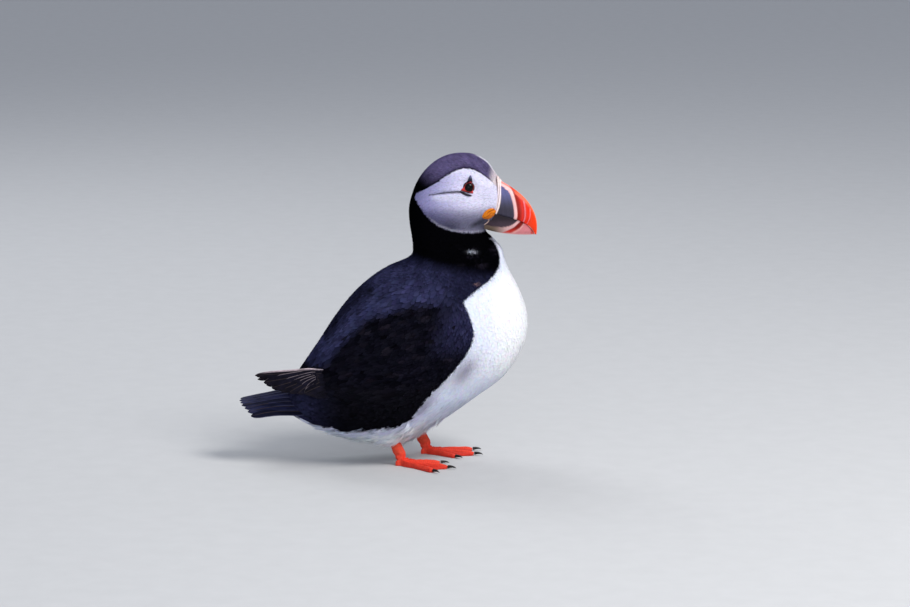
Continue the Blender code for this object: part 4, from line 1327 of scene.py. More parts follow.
def roots_at(starts, way, heading, length, half, tip, seed):
    """Roots where lines from the starts meet the skin, pointing one way or as the coat lies."""
    draw = np.random.default_rng(seed)
    places, normals, maps = [], [], []
    for start in starts:
        hit, _, face, _ = skin.tree.ray_cast(Vector(start), Vector(way))
        if hit is None:
            continue
        places.append(tuple(hit))
        normals.append(skin.face_normals[face])
        maps.append(skin.maps[face].mean(axis=0))
    places, normals, maps = (np.array(rows) for rows in (places, normals, maps))
    ways = lie(places, normals)
    if heading is not None:
        asked = np.array(heading, float)
        ways = unit(asked - normals * dot(normals, asked))
    count = len(places)
    turn = 0.05 * draw.normal(size=(count, 1))
    ways = unit(ways + np.cross(normals, ways) * turn)
    vary = draw.uniform(0.9, 1.1, count)
    half, tip = (np.full(count, size) for size in (half, tip))
    return Roots(places, normals, ways, length * vary, half, tip, maps)


def row(line, count, rows, step, seed):
    """Places x, z spread along a line, in rows set off by a step."""
    draw = np.random.default_rng(seed)
    corners = np.array(line, float)
    gaps = np.concatenate([[0], np.cumsum(np.hypot(*np.diff(corners, axis=0).T))])
    spots = []
    for k in range(rows):
        at = np.linspace(0, gaps[-1], count) + (0.5 * gaps[-1] / count if k % 2 else 0)
        at = np.clip(at + draw.normal(size=count) * 0.3, 0, gaps[-1])
        x, z = np.interp(at, gaps, corners[:, 0]), np.interp(at, gaps, corners[:, 1])
        spots.append(np.stack([x + k * step[0], z + k * step[1]], 1))
    return np.concatenate(spots)


SCAPULAR_LINE = (
    (45.5, 126), (37.5, 130.5), (21.5, 132.5), (3.5, 127.5), (-14.5, 116), (-28.5, 102.5),
    (-38.5, 91),
)
COVERT_LINE = ((-33.5, 76.0), (-33.0, 70.0), (-32.5, 63.0), (-31.0, 56.0), (-29.5, 51.5))
SECONDARY_LINE = ((14.0, 53.5), (0.0, 51.5), (-12.0, 51.5), (-24.0, 52.5))


# Name, line, feathers in a row, rows, step, heading, (length, half width, tip), stiffness
LARGE_GROUPS = (
    ("scapulars", SCAPULAR_LINE, 38, 6, (-0.6, -2.9), None, (10.5, 2.1, 1.3), 0.25),
    ("greater_coverts", COVERT_LINE, 9, 3, (5, 1), (-1, 0, -0.16), (12, 2.6, 1.2), 0.7),
    ("secondaries", SECONDARY_LINE, 9, 2, (2.5, 3.5), (-1, 0, -0.04), (19, 2.6, 1), 0.55),
)
# Name, height that they are dropped from, way of the drop, heading, places along the tail
TAIL_COVERTS = (
    ("upper", 150.0, (0, 0, -1), (-1.0, 0.0, -0.30), (-50.0, -55.0, -60.0)),
    ("under", -40.0, (0, 0, 1), (-1.0, 0.0, 0.22), (-44.0, -50.0, -56.0)),
)


def make_large_feathers(look):
    """Scapulars over the wing's upper edge, and the larger coverts and secondaries at its rear."""
    for side_name, side in SIDES.items():
        for k, (name, line, count, rows, step, heading, sizes, stiff) in enumerate(LARGE_GROUPS):
            spots = row(line, count, rows, step, 51 + k)
            starts = [(x, side * BESIDE, z) for x, z in spots]
            roots = roots_at(starts, (0, -side, 0), heading, *sizes, 54 + k)
            piece = grow(name + "_" + side_name, roots, LARGE_VANES, look, 57 + k, stiff, 0.22)
            settle(piece, "plumage_black")


def make_tail_coverts(look):
    """Feathers that run from rump and vent over the tail's base, above and beneath."""
    spread = np.linspace(-1, 1, 9)
    for name, high, way, heading, xs in TAIL_COVERTS:
        starts = [(x, y * (18.0 + 0.5 * (x + 50)), high) for x in xs for y in spread]
        roots = roots_at(starts, way, heading, 17.0, 3.3, 0.6, 63)
        settle(grow(name + "_tail_coverts", roots, LARGE_VANES, look, 64, 0.7), "plumage_black")


def make_wisps(look):
    """Loose pale feathers hanging from the belly and round the tops of the legs."""
    places, normals, maps = skin.scatter(WISP_CANDIDATES, 65)
    x, _, z = places.T
    picked = np.flatnonzero((z < 33) & (x > -44) & (x < 40) & (normals[:, 2] < 0.15))
    picked = picked[spread_out(places[picked], np.full(len(picked), 2.0))]
    places, normals, maps = places[picked], normals[picked], maps[picked]
    count = len(places)
    draw = np.random.default_rng(66)
    ways = unit(lie(places, normals) + 0.30 * draw.normal(size=places.shape))
    ways = unit(ways - normals * dot(ways, normals))
    length = draw.uniform(7.5, 13.0, count)
    by_leg = hump(places[:, 0], 12, 10) * (normals[:, 2] < -0.1)
    tip = draw.uniform(1.2, 4.0, count) + 2.0 * by_leg * draw.random(count)
    roots = Roots(places, normals, ways, length, np.full(count, 1.5), tip, maps)
    settle(grow("belly_wisps", roots, WISP_VANES, look, 67, 0.6, 0.10), "plumage_white")


# ------- bill

# Side curves of the bill, x, z in the head frame, and its half widths
CULMEN = ((77.7, 193.2), (88.5, 187.8), (105.6, 177.6), (102.2, 157.6))
MOUTH = ((75.4, 172.0), (85.0, 168.6), (97.2, 168.4), (101.4, 158.2))
GONYS = ((66.2, 160.2), (77.0, 156.9), (90.0, 156.7), (100.8, 157.6))
CERE_TOP = ((75.0, 196.8), (77.9, 193.4))
CERE_FOOT = ((74.8, 172.9), (76.2, 171.6))
CERE_BOW = 1.9
BILL_BASE_HALF, BILL_TIP_HALF = 7.4, 1.5
# Grooves and swellings round the upper bill: place along it, width, height
BILL_RELIEF = ((90.8, 0.4, -0.22), (95.35, 0.45, -0.3), (98.5, 0.35, -0.2), (89.1, 0.9, 0.3))

# Lines over the side of the lower bill, x and z, each from the chin up to the mouth
SLATE_END = (
    (67.3, 163.6), (72, 163), (76.6, 162.3), (81, 162.4), (84.9, 163.4), (87.7, 164.9),
    (89.4, 166.5), (90.5, 168),
)
CREAM_END = (
    (78, 157.8), (82, 159.5), (84.9, 161), (87.7, 162.6), (89.8, 164.6), (91.3, 166), (92, 167),
)
RED_END = ((85, 157.5), (88.3, 159.3), (91.3, 161.2), (93.3, 163.5), (95.2, 166), (95.8, 168))

SLATE_TOP, SLATE_LOW = rgb(0.105, 0.108, 0.24), rgb(0.040, 0.035, 0.056)
CREAM = rgb(0.76, 0.60, 0.52)
CREAM_LINE = rgb(0.30, 0.19, 0.16)
CREAM_PINK = rgb(0.90, 0.52, 0.50)
CREAM_BROWN = rgb(0.24, 0.17, 0.12)
DARK_RED = rgb(0.30, 0.010, 0.004)
RED = rgb(0.70, 0.022, 0.010)
RIDGE_ORANGE = rgb(0.88, 0.075, 0.022)
SCARLET = rgb(0.80, 0.022, 0.004)
TIP_RED = rgb(0.80, 0.040, 0.006)
PALE_LINE = rgb(0.80, 0.17, 0.19)
SALMON = rgb(0.78, 0.26, 0.27)
CREAM_RIM = rgb(0.85, 0.30, 0.16)
CREST_ORANGE = rgb(0.90, 0.24, 0.12)
CHIN_SLATE, MOUTH_SLATE = rgb(0.030, 0.021, 0.028), rgb(0.075, 0.048, 0.064)
LOW_TIP_RED = rgb(0.75, 0.09, 0.06)
LOW_BAND_PINK = rgb(0.92, 0.42, 0.38)
GONYS_PINK = rgb(0.80, 0.36, 0.34)
CERE_CREAM = rgb(0.86, 0.74, 0.76)
CERE_BACK = rgb(0.30, 0.20, 0.19)
CERE_RIDGE = rgb(0.80, 0.62, 0.52)
CERE_SPECK = rgb(0.60, 0.46, 0.42)


def bezier(corners, f):
    weights = np.stack([(1 - f) ** 3, 3 * f * (1 - f) ** 2, 3 * f * f * (1 - f), f**3], -1)
    return weights @ np.array(corners)


def half_rings(foot, edge, half, count):
    """Sections from a foot line on the right round the ridge to the left, and their heights."""
    high = np.sin(np.linspace(0, math.pi / 2, count))
    across = half[:, None] * np.maximum(1 - high**2.4, 0) ** 0.62
    x = between(foot[:, :1], edge[:, :1], high)
    z = between(foot[:, 1:], edge[:, 1:], high)
    right, left = np.stack([x, -across, z], -1), np.stack([x, across, z], -1)
    high = np.concatenate([high, high[::-1][1:]])
    return np.concatenate([right, left[:, ::-1][:, 1:]], axis=1), np.tile(high, (len(foot), 1))


def bill_piece(name, rings, relief, colours, look):
    """A shell of the bill from rings in the head frame, moved out by relief and painted."""
    mesh = ring_mesh(name, from_head(rings))
    push_out(mesh, relief)
    set_paint(mesh, colours.reshape(-1, 3))
    return add_object(name, mesh, look)


def bill_upper(look):
    f = np.linspace(0, 1, 120) ** 0.92
    half = between(BILL_BASE_HALF, BILL_TIP_HALF, f**1.25)
    rings, high = half_rings(bezier(MOUTH, f), bezier(CULMEN, f), half, 26)
    x, z = rings[..., 0], rings[..., 2]
    # along counts forwards, bent as the bands are, and ahead counts from the band at the base
    along = x + 0.0165 * np.maximum(z - 171, 0) ** 2 + 0.060 * np.maximum(171 - z, 0) ** 2
    along = along + 0.05 * np.maximum(z - 186, 0) ** 2
    ahead = x - (79.1 - 0.022 * (z - 182.5) ** 2)
    corner = 0.08 * np.maximum(z - 184.5, 0) ** 2
    cream = ease((along + corner - 88.1) / 0.3 + 0.5) * ease((90.2 - along) / 0.3 + 0.5)
    slate = between(SLATE_LOW, SLATE_TOP, rise(z, 175, 12)[..., None])
    slate = slate * (1 + 0.10 * np.sin(along * 5.2) + 0.08 * np.sin(along * 2.1 + 1.0))[..., None]
    ridge, crest = rise(high, 0.87, 0.05), rise(high, 0.94, 0.03)
    colours = layered(slate, [
        (ease(0.5 - ahead / 0.25), CREAM),
        (hump(ahead, -0.9, 0.16), CREAM_LINE),
        (cream, CREAM_PINK),
        (0.5 * hump(along, 90.15, 0.2), CREAM_RIM),
        (rise(along, 90.2, 0.3), DARK_RED),
        (rise(along, 91.3, 3.0), RED),
        (0.6 * hump(along, 94.75, 0.3), DARK_RED),
        (band(along, 94.95, 95.85, 0.25), PALE_LINE),
        (rise(along, 95.8, 0.25), SCARLET),
        (band(along, 98.25, 98.75), PALE_LINE),
        (rise(along, 98.7, 0.2), TIP_RED),
        (ridge * rise(along, 90.8, 1.0), RIDGE_ORANGE),
        (0.6 * crest * rise(along, 84.5, 2.0) * fall(along, 92.0, 1.0), RIDGE_ORANGE),
        (0.45 * crest * rise(along, 91.5, 2.0), CREST_ORANGE),
        (rise(f[:, None], 0.72, 0.1) * fall(high, 0.035, 0.02), CREAM),
    ])
    lift = 0.025 * np.sin(along * 5.2)
    lift = lift + 0.22 * ease(0.5 - ahead / 0.5) - 0.16 * hump(ahead, -0.9, 0.2)
    for at, width, height in BILL_RELIEF:
        lift = lift + height * hump(along, at, width)
    return bill_piece("bill_upper_horn", rings, lift * (1 - high**4), colours, look)


def past(x, z, line):
    """How far places lie below and ahead of a line over the side of the bill."""
    line = np.array(line)
    return 0.7 * (np.interp(x, line[:, 0], line[:, 1]) - z)


def bill_lower(look):
    f = np.linspace(0, 1, 110)
    line, gonys = bezier(MOUTH, f), bezier(GONYS, f)
    slope = (MOUTH[1][1] - MOUTH[0][1]) / (MOUTH[1][0] - MOUTH[0][0])
    back = GONYS[0][0] - MOUTH[0][0] + (MOUTH[0][1] - GONYS[0][1]) * 0.17
    pull = (1 - f) ** 2
    top_x = line[:, 0] + back * pull - 0.9 * f
    top_z = line[:, 1] + (back * slope - 0.3) * pull - 0.08
    half = between(BILL_BASE_HALF, BILL_TIP_HALF, f**1.25) - 0.45
    rings, high = half_rings(np.stack([top_x, top_z], -1), gonys, half, 20)
    x, z = rings[..., 0], rings[..., 2]
    past_slate, past_cream, past_red = (past(x, z, end) for end in (SLATE_END, CREAM_END, RED_END))
    foot = z - np.interp(x, gonys[:, 0], gonys[:, 1])
    slate = between(CHIN_SLATE, MOUTH_SLATE, fall(z, 169, 6)[..., None])
    cream = between(CREAM_BROWN, CREAM_PINK, rise(x, 72, 14)[..., None])
    streaks = 0.25 * np.sin((x - 0.7 * z) * 3.0)
    colours = layered(slate * (1 + 0.08 * np.sin(x * 4.4 + z * 2.0))[..., None], [
        (ease(past_slate / 0.4 + 0.5), cream),
        (ease(past_cream / 0.3 + 0.5), DARK_RED * 0.8),
        (ease(past_cream / 0.3 + 0.5) * fall(z, 163, 4), RED),
        (ease(past_red / 0.3 + 0.5), SALMON),
        (ease(past_red / 0.3) * np.clip(streaks, 0, 1), PALE_LINE),
        (rise(x, 98.3, 0.6), LOW_TIP_RED),
        (hump(past_red, 0.0, 0.55), LOW_BAND_PINK),
        (0.7 * hump(high, 0.10, 0.05) * ease(past_red / 0.5), PALE_LINE * 1.1),
        (0.6 * hump(past_red, 2.6, 0.35) * fall(high, 0.6, 0.3), PALE_LINE * 1.1),
        (ease((0.7 - foot) / 0.4 + 0.5) * 0.7 * rise(x, 76, 8), GONYS_PINK),
    ])
    lift = 0.20 * hump(past_cream, -0.9, 0.7) - 0.25 * hump(past_red, 0.0, 0.4)
    lift = lift + 0.06 * streaks * ease(past_red / 0.5)
    return bill_piece("bill_lower_horn", rings, lift * (1 - high**4), colours, look)


def bill_cere(look):
    f = np.linspace(0, 1, 26)[:, None]
    foot, top = (between(*np.array(line)[:, None], f) for line in (CERE_FOOT, CERE_TOP))
    half = BILL_BASE_HALF + 0.55 * np.sin(math.pi * (0.2 + 0.6 * f))
    rings, high = half_rings(foot, top, half.ravel(), 34)
    rings[..., 0] += CERE_BOW * 4 * high * (1 - high)
    bump = ripple(rings * np.array([1.0, 1.0, 0.35]), 1.4, 61)
    colours = layered(CERE_CREAM + np.zeros(rings.shape), [
        (hump(f, 0.50, 0.07), CREAM_LINE),
        (fall(f, 0.16, 0.1), CERE_BACK),
        (0.35 * rise(high, 0.7, 0.2), CERE_RIDGE),
        (0.25 * (bump > 0.4), CERE_SPECK),
    ])
    lift = 0.20 * np.abs(np.sin(2 * math.pi * f)) - 0.22 * hump(f, 0.5, 0.08) + 0.04 * bump
    return bill_piece("cere_skin", rings, lift * band(f, 0.02, 0.98, 0.04), colours, look)


def make_horn_look():
    look = Nodes("bill_horn_fine")
    specks = look.noise(look.place((1, 1, 0.25)), 2600.0, 2.0)
    look.set(
        Base_Color=look.painted(look.ramp(look.noise(look.place(), 260.0), 0.3, 0.7, 0.90, 1.06)),
        Roughness=look.ramp(specks, 0.3, 0.7, 0.26, 0.42),
        Normal=look.bump(specks, 0.25, 0.00008),
        Specular_IOR_Level=0.14,
        Subsurface_Weight=0.02,
        Subsurface_Radius=(0.004, 0.0015, 0.001),
        Coat_Weight=0.05,
        Coat_Roughness=0.2,
    )
    return look.material


def make_flesh_look(name, roughness, grain_size, depth):
    """Bare skin: painted, finely pebbled and a little translucent."""
    look = Nodes(name)
    cells = look.node("ShaderNodeTexVoronoi", {"Vector": look.place(), "Scale": grain_size})
    pebbles = cells.outputs["Distance"]
    grain = look.noise(look.place(), grain_size * 0.6)
    look.set(
        Base_Color=look.painted(look.ramp(grain, 0.3, 0.7, 0.86, 1.08)),
        Roughness=look.ramp(pebbles, 0.0, 0.6, roughness, roughness + 0.18),
        Normal=look.bump(pebbles, 0.35, depth),
        Subsurface_Weight=0.05,
        Subsurface_Radius=(0.004, 0.0015, 0.001),
        Specular_IOR_Level=0.16,
    )
    return look.material


# ------- eyes and their fittings

EYE_OPENING = 2.85
PUPIL_RADIUS, IRIS_RADIUS = 2.05, 2.6
RING_CORNERS = ((-5.9, -2.3), (3.2, -4.3), (1.5, 5))
RING_LEAST, RING_MOST = 3.55, 6.3
# Section of the ring: how far out, share of the ball's height over the skin's, and lift
RING_PROFILE = (
    (0, 1, 0.02), (0.1, 0.9, 0.42), (0.26, 0.7, 0.66), (0.44, 0.5, 0.66), (0.64, 0.3, 0.52),
    (0.84, 0.12, 0.4), (1, 0, 0.22), (1, 0, -0.9), (0.1, 1, -0.9),
)
# Outlines of a plate's layers as shares of its own, and their lifts
PLATE_LAYERS = (
    (1, -1.3), (1, 0.1), (0.94, 0.55), (0.8, 0.82), (0.6, 0.94), (0.4, 0.99), (0.2, 1), (0.04, 1),
)
SPIKE = (
    (-1.5, 3.6), (0.3, 4), (2.3, 3.5), (2.1, 5), (1.75, 6.6), (1.3, 7.8), (0.75, 8.2), (0.2, 7.8),
    (-0.35, 6.4), (-0.9, 4.8),
)
BAR = (
    (-6.3, -2.5), (-4.2, -3.3), (-1.6, -4.1), (1.2, -4.9), (2.4, -5.5), (1.4, -6.1), (-1.2, -5.9),
    (-3.6, -5), (-5.6, -3.8),
)
PUPIL = rgb(0.0012, 0.0012, 0.0014)
IRIS = rgb(0.007, 0.004, 0.003)
IRIS_RIM = rgb(0.008, 0.004, 0.004)
EYE_BACK = rgb(0.05, 0.02, 0.02)
LID_RED = rgb(0.68, 0.055, 0.05)
LID_TOP = rgb(0.16, 0.012, 0.018)
LID_INNER = rgb(0.05, 0.004, 0.006)
LID_OUTER = rgb(0.30, 0.02, 0.03)
SPIKE_LOW, SPIKE_HIGH = rgb(0.016, 0.014, 0.026), rgb(0.10, 0.105, 0.20)
BAR_HIGH, BAR_LOW = rgb(0.016, 0.014, 0.024), rgb(0.040, 0.042, 0.080)


def ring_reach(angle):
    """How far the red ring reaches from the eye's centre in each direction."""
    reach = np.full(len(angle), 30.0)
    corners = np.array(RING_CORNERS)
    for a, b in zip(corners, np.roll(corners, -1, axis=0)):
        normal = unit(np.array([b[1] - a[1], a[0] - b[0]]))
        facing = (np.cos(angle) * normal[0] + np.sin(angle) * normal[1]) * np.sign(a @ normal)
        limit = abs(a @ normal) / np.maximum(facing, 0.05)
        reach = np.where(facing > 0.05, np.minimum(reach, limit), reach)
    return np.minimum(np.maximum(reach, RING_LEAST), RING_MOST)


def skin_out(eye, along, up):
    """Height of the skin over the plane through the eye's centre, beneath places in that plane."""
    far, missed = 14.0, 2.0
    heights = []
    for a, u in zip(along, up):
        start = Vector(eye.place(a, u, far))
        hit = skin.tree.ray_cast(start, Vector(-eye.out))[0]
        heights.append(far - (start - hit).length if hit else missed)
    return np.array(heights)


def make_eyeball(eye, look):
    """The ball, painted with pupil and iris, poles on the way it looks."""
    rings, around = 48, 64
    polar = np.linspace(0, math.pi, rings + 1)[1:-1, None]
    turn = np.linspace(0, 2 * math.pi, around, endpoint=False)
    wide = eye.radius * np.sin(polar)
    deep = eye.radius * np.cos(polar) + 0 * turn
    body = eye.place(wide * np.cos(turn), wide * np.sin(turn), deep)
    front, rear = eye.centre + eye.out * eye.radius, eye.centre - eye.out * eye.radius
    points = np.concatenate([[front], body.reshape(-1, 3), [rear]])
    last = len(points) - 1
    faces = [(0, 1 + i, 1 + j) for i, j in pairs(around)]
    for a in range(1, last - around, around):
        b = a + around
        faces += [(a + i, b + i, b + j, a + j) for i, j in pairs(around)]
    faces += [(last, last - around + j, last - around + i) for i, j in pairs(around)]
    mesh = mesh_from("eyeball_" + eye.name, points, faces)
    face_out(mesh)
    a, u, o = eye.flat(points_of(mesh))
    r, angle = np.hypot(a, u), np.arctan2(u, a)
    spokes = 1 + 0.35 * np.sin(angle * 37) * np.sin(angle * 13)
    iris = (rise(r, PUPIL_RADIUS, 0.12), IRIS * spokes[:, None])
    seen = layered(PUPIL, [iris, (rise(r, IRIS_RADIUS, 0.4), IRIS_RIM)])
    set_paint(mesh, np.where((o > 0)[:, None], seen, EYE_BACK))
    return add_object(mesh.name, mesh, look)


def make_eye_ring(eye, look):
    """The three-cornered red lid round the eye: a closed roll on the eyeball and the skin."""
    count, wide = 144, len(RING_PROFILE)
    turn = np.linspace(0, 2 * math.pi, count, endpoint=False)
    outer = smoothed(ring_reach(turn), 3, closed=True)
    level = skin_out(eye, np.cos(turn) * outer * 1.04, np.sin(turn) * outer * 1.04)
    level = smoothed(level, 6, closed=True)
    ball = math.sqrt(eye.radius**2 - EYE_OPENING**2)
    rings = []
    for out_share, ball_share, lift in RING_PROFILE:
        radius = between(EYE_OPENING, outer, out_share)
        height = ball * ball_share + level * (1 - ball_share) + lift
        rings.append(eye.place(np.cos(turn) * radius, np.sin(turn) * radius, height))
    points = np.stack(rings, axis=1)
    points[:, 2:6] += (eye.out * 0.05)[None, None] * np.sin(turn * 31)[:, None, None]
    faces = [
        (i * wide + j, k * wide + j, k * wide + m, i * wide + m)
        for i, k in pairs(count) for j, m in pairs(wide)
    ]
    mesh = mesh_from("eye_lid_" + eye.name, points.reshape(-1, 3), faces)
    face_out(mesh)
    share = np.tile([row[0] for row in RING_PROFILE], count)
    set_paint(mesh, layered(LID_RED, [
        (0.85 * rise(np.sin(np.repeat(turn, wide)), 0.1, 0.7), LID_TOP),
        (fall(share, 0.24, 0.14), LID_INNER),
        (0.7 * rise(share, 0.72, 0.2), LID_OUTER),
    ]))
    return subdivided(add_object(mesh.name, mesh, look))


def make_plate(name, eye, outline, height, colours, look):
    """A horny plate over a closed outline in the eye's plane, domed and ridged."""
    corners = np.array(outline)
    curve = curve_through(corners, np.linspace(0, len(corners), 60, endpoint=False), closed=True)
    middle = curve.mean(axis=0)
    level = skin_out(eye, curve[:, 0], curve[:, 1])
    base = float(np.mean(level))
    rings = []
    for scale, lift in PLATE_LAYERS:
        flat = middle + (curve - middle) * scale
        ground = base + (level - base) * scale
        rings.append(eye.place(flat[:, 0], flat[:, 1], ground + 0.25 + height * lift))
    mesh = ring_mesh(name, np.stack(rings))
    a, u, _ = eye.flat(points_of(mesh))
    set_paint(mesh, colours(a, u))
    return subdivided(add_object(name, mesh, look))


def spike_colour(a, u):
    shine = 0.5 * hump(a, 1.2, 0.35) * rise(u, 5.4, 1.5)
    return layered(SPIKE_LOW, [(rise(u, 5.0, 2.8), SPIKE_HIGH), (shine, SPIKE_HIGH * 1.4)])


def bar_colour(_, u):
    return layered(BAR_HIGH, [(0.4 * fall(u, -5.2, 0.9), BAR_LOW)])


def make_eye_look():
    look = Nodes("eye_ball")
    flecks = look.noise(look.place(), 3500.0, 2.0)
    look.set(
        Base_Color=look.painted(look.ramp(flecks, 0.3, 0.7, 0.8, 1.1)),
        Roughness=look.ramp(look.noise(look.place(), 500.0, 1.0), 0.3, 0.7, 0.04, 0.08),
        Specular_IOR_Level=0.10,
        Coat_Weight=0.05,
        Coat_Roughness=0.02,
    )
    return look.material


# ------- rosettes, feet and claws

ROSETTE_ORANGE = rgb(0.68, 0.19, 0.005)
ROSETTE_RED = rgb(0.50, 0.13, 0.01)
ROSETTE_CREASE_SHADE = rgb(0.25, 0.05, 0.006)
FOLD_PINK = rgb(0.60, 0.42, 0.36)
WEB_RED = rgb(0.62, 0.035, 0.018)
TOE_RED = rgb(0.86, 0.065, 0.032)
FOLD_SHADE_RED = rgb(0.33, 0.024, 0.014)
SOLE_RED = rgb(0.40, 0.05, 0.03)
SHANK_RED = rgb(0.62, 0.07, 0.03)
CLAW_BLACK, CLAW_PALE = rgb(0.014, 0.011, 0.010), rgb(0.07, 0.05, 0.04)


def make_rosette(side_name, look):
    """The wrinkled skin at the corner of the mouth."""
    mesh = remeshed([node_mesh("rosette_" + side_name)], 0.28, 3)
    head = to_head(points_of(mesh))
    along, up = rosette_places(head)
    c, s = ROSETTE_WAY
    longer, taller = 0.10 * along, (0.12 - 0.30 * fall(along, -1, 4)) * up
    head = head + np.stack([longer * c - taller * s, 0 * along, longer * s + taller * c], 1)
    head[:, 1] += 0.5 * SIDES[side_name]
    set_points(mesh, from_head(head))
    points = points_of(mesh)
    bend = up - 0.25 * np.sin(along * 0.9) + 0.12 * ripple(points, 1.5, 71)
    crease = hump(bend, 0.55, 0.28) * rise(along, -1.5, 2)
    crease = crease + hump(bend, -0.9, 0.26) * fall(along, 3, 2)
    crease = np.clip(crease + 0.5 * hump(bend, -2.0, 0.2), 0, 1)
    push_out(mesh, 0.14 * ripple(points, 0.9, 72) - 0.55 * crease)
    colour = layered(ROSETTE_ORANGE, [
        (0.7 * fall(up, -0.4, 2.0), ROSETTE_RED),
        # dark in the creases: painted shade
        (0.85 * crease, ROSETTE_CREASE_SHADE),
    ])
    set_paint(mesh, colour * (1 + 0.08 * ripple(points, 0.8, 73))[:, None])
    return add_object("rosette_skin_" + side_name, mesh, look)


GAPE_FOLD = ((71.0, 168.6), (71.3, 167.3), (70.5, 166.1), (69.5, 165.2), (67.7, 164.0))
GAPE_START, GAPE_REACH = 60.0, 52.6     # from beside the head, and how far in the fold may lie
FOLD_THICK = 0.40


def make_gape_fold(side_name, look):
    """The pale fold of skin that leads down from a rosette."""
    line = []
    for x, z in GAPE_FOLD:
        start, inner = from_head(np.array([[x, SIDES[side_name] * GAPE_START, z], [x, 0.0, z]]))
        way = unit(inner - start)
        place = start + way * GAPE_REACH
        hit = skin.tree.ray_cast(Vector(start), Vector(way))[0]
        if hit is not None and (np.array(hit) - start) @ way <= GAPE_REACH:
            place = np.array(hit)
        line.append(place - way * 0.55)
    steps = np.linspace(0, len(line) - 1, 24)
    path = [np.interp(steps, np.arange(len(line)), column) for column in np.array(line).T]
    path = smoothed(np.stack(path, 1), 3)
    heading = unit(np.gradient(path, axis=0))
    aside = unit(np.cross(heading, np.array([0.0, 1.0, 0.0])))
    third = np.cross(heading, aside)
    angle = np.linspace(0, 2 * math.pi, 10, endpoint=False)[None, :, None]
    share = np.linspace(0.08, 0.92, len(path))
    radius = FOLD_THICK * np.sqrt(np.sin(share * math.pi))[:, None, None]
    round_way = np.cos(angle) * aside[:, None] + np.sin(angle) * third[:, None]
    mesh = ring_mesh("gape_fold_" + side_name, path[:, None] + round_way * radius)
    set_paint(mesh, FOLD_PINK * (1 + 0.15 * ripple(points_of(mesh), 1.0, 74))[:, None])
    return add_object(mesh.name, mesh, look)


# Where each foot's heel is, and which way its middle toe points
FEET = {"right": (9.0, -19.5, math.radians(-22)), "left": (25.5, 20.0, math.radians(-13))}
TOE_SPREAD = math.radians(25)


def foot_places(points, side_name):
    """Places in a foot's own frame: reach and direction from the heel, and height."""
    x, y, heading = FEET[side_name]
    dx, dy = points[:, 0] - x, points[:, 1] - y
    ahead = dx * math.cos(heading) + dy * math.sin(heading)
    across = dy * math.cos(heading) - dx * math.sin(heading)
    return np.hypot(ahead, across), np.arctan2(across, ahead), points[:, 2]


def make_foot(side_name, look):
    """One bare leg with its webbed foot, scaled on the toes and folded on the webs."""
    x, y, _ = FEET[side_name]
    joint = egg("joint", (x - 0.4, y, 5.6), (3.6, 2.9, 2.6))
    mesh = remeshed([node_mesh("foot_" + side_name), node_mesh("leg_" + side_name), joint], 0.42, 4)
    points, upward = points_of(mesh), np.clip(normals_of(mesh)[:, 2], 0, 1)
    reach, angle, high = foot_places(points, side_name)
    toes = [hump(reach * (angle - turn), 0, 1.5) for turn in (-TOE_SPREAD, 0.0, TOE_SPREAD)]
    toe = np.maximum(np.max(toes, axis=0), fall(reach, 7, 4))
    web, shank = 1 - toe, rise(high, 7, 2)
    scutes = np.abs(np.sin(reach * 2.1 + 0.6 * np.sin(angle * 9))) ** 0.5 - 0.8
    shank_scutes = np.abs(np.sin(high * 2.3)) ** 0.5 - 0.8
    folds = np.sin(angle * 44 + 1.4 * np.sin(reach * 0.33)) * rise(reach, 7, 6)
    ripples = ripple(points, 2.4, 81)
    lift = 0.20 * scutes * toe * upward + (0.34 * folds + 0.16 * ripples) * web * upward
    lift += 0.14 * shank * shank_scutes - 0.15 * (1 - shank) * hump(reach, 6.0, 0.8) * upward
    lift += 0.7 * upward * rise(reach, 4, 4) * (0.45 + 0.55 * toe) + 0.7 * shank
    push_out(mesh, lift * rise(high, 0.5, 0.8))
    # darker in the web's folds and between the toe scutes: painted shade
    deep = np.clip(-folds, 0, 1) * web * 0.30 + np.clip(0.2 - scutes, 0, 1) * toe * 0.45
    colour = layered(WEB_RED, [
        (toe, TOE_RED),
        (deep, FOLD_SHADE_RED),
        (0.6 * fall(high, 0.4, 0.4), SOLE_RED),
        (0.6 * shank, SHANK_RED),
    ])
    set_paint(mesh, colour * (1 + 0.07 * ripples)[:, None])
    return add_object("foot_skin_" + side_name, mesh, look)


def make_claws(side_name, look):
    names = ["claw_" + side_name + "_" + toe for toe in ("inner", "middle", "outer")]
    mesh = remeshed([node_mesh(name) for name in names], 0.16, 3)
    reach, _, high = foot_places(points_of(mesh), side_name)
    push_out(mesh, 0.035 * np.sin(reach * 7))
    set_paint(mesh, layered(CLAW_BLACK, [(0.6 * fall(high, 0.6, 0.5), CLAW_PALE)]))
    return add_object("claws_" + side_name, mesh, look), names


# ------- flight and tail feathers

BLADE_ROWS, TAIL_ROWS, BLADE_ACROSS = 24, 26, 9


def blade(line, outs, widths, bow, thick=0.28):
    """A firm feather as a thin closed shell over a line: its rings, and u, v of each point."""
    heading = unit(np.gradient(line, axis=0))
    aside = unit(np.cross(outs, heading))
    v = np.linspace(-1, 1, BLADE_ACROSS)
    sheet = line[:, None] + aside[:, None] * widths[:, :, None]
    sheet = sheet + outs[:, None] * (bow * (1 - v**2))[None, :, None]
    slim = np.linspace(1.0, 0.5, len(line))[:, None, None]
    thin = (thick * (0.35 + 0.65 * (1 - v**2)))[None, :, None] * slim
    top, foot = sheet + outs[:, None] * thin / 2, sheet - outs[:, None] * thin / 2
    u = np.linspace(0, 1, len(line))[:, None] + 0 * v
    across = 0 * u + v
    vane = np.stack([np.concatenate([u, u], 1), np.concatenate([across, across[:, ::-1]], 1)], -1)
    return np.concatenate([top, foot[:, ::-1]], axis=1), vane


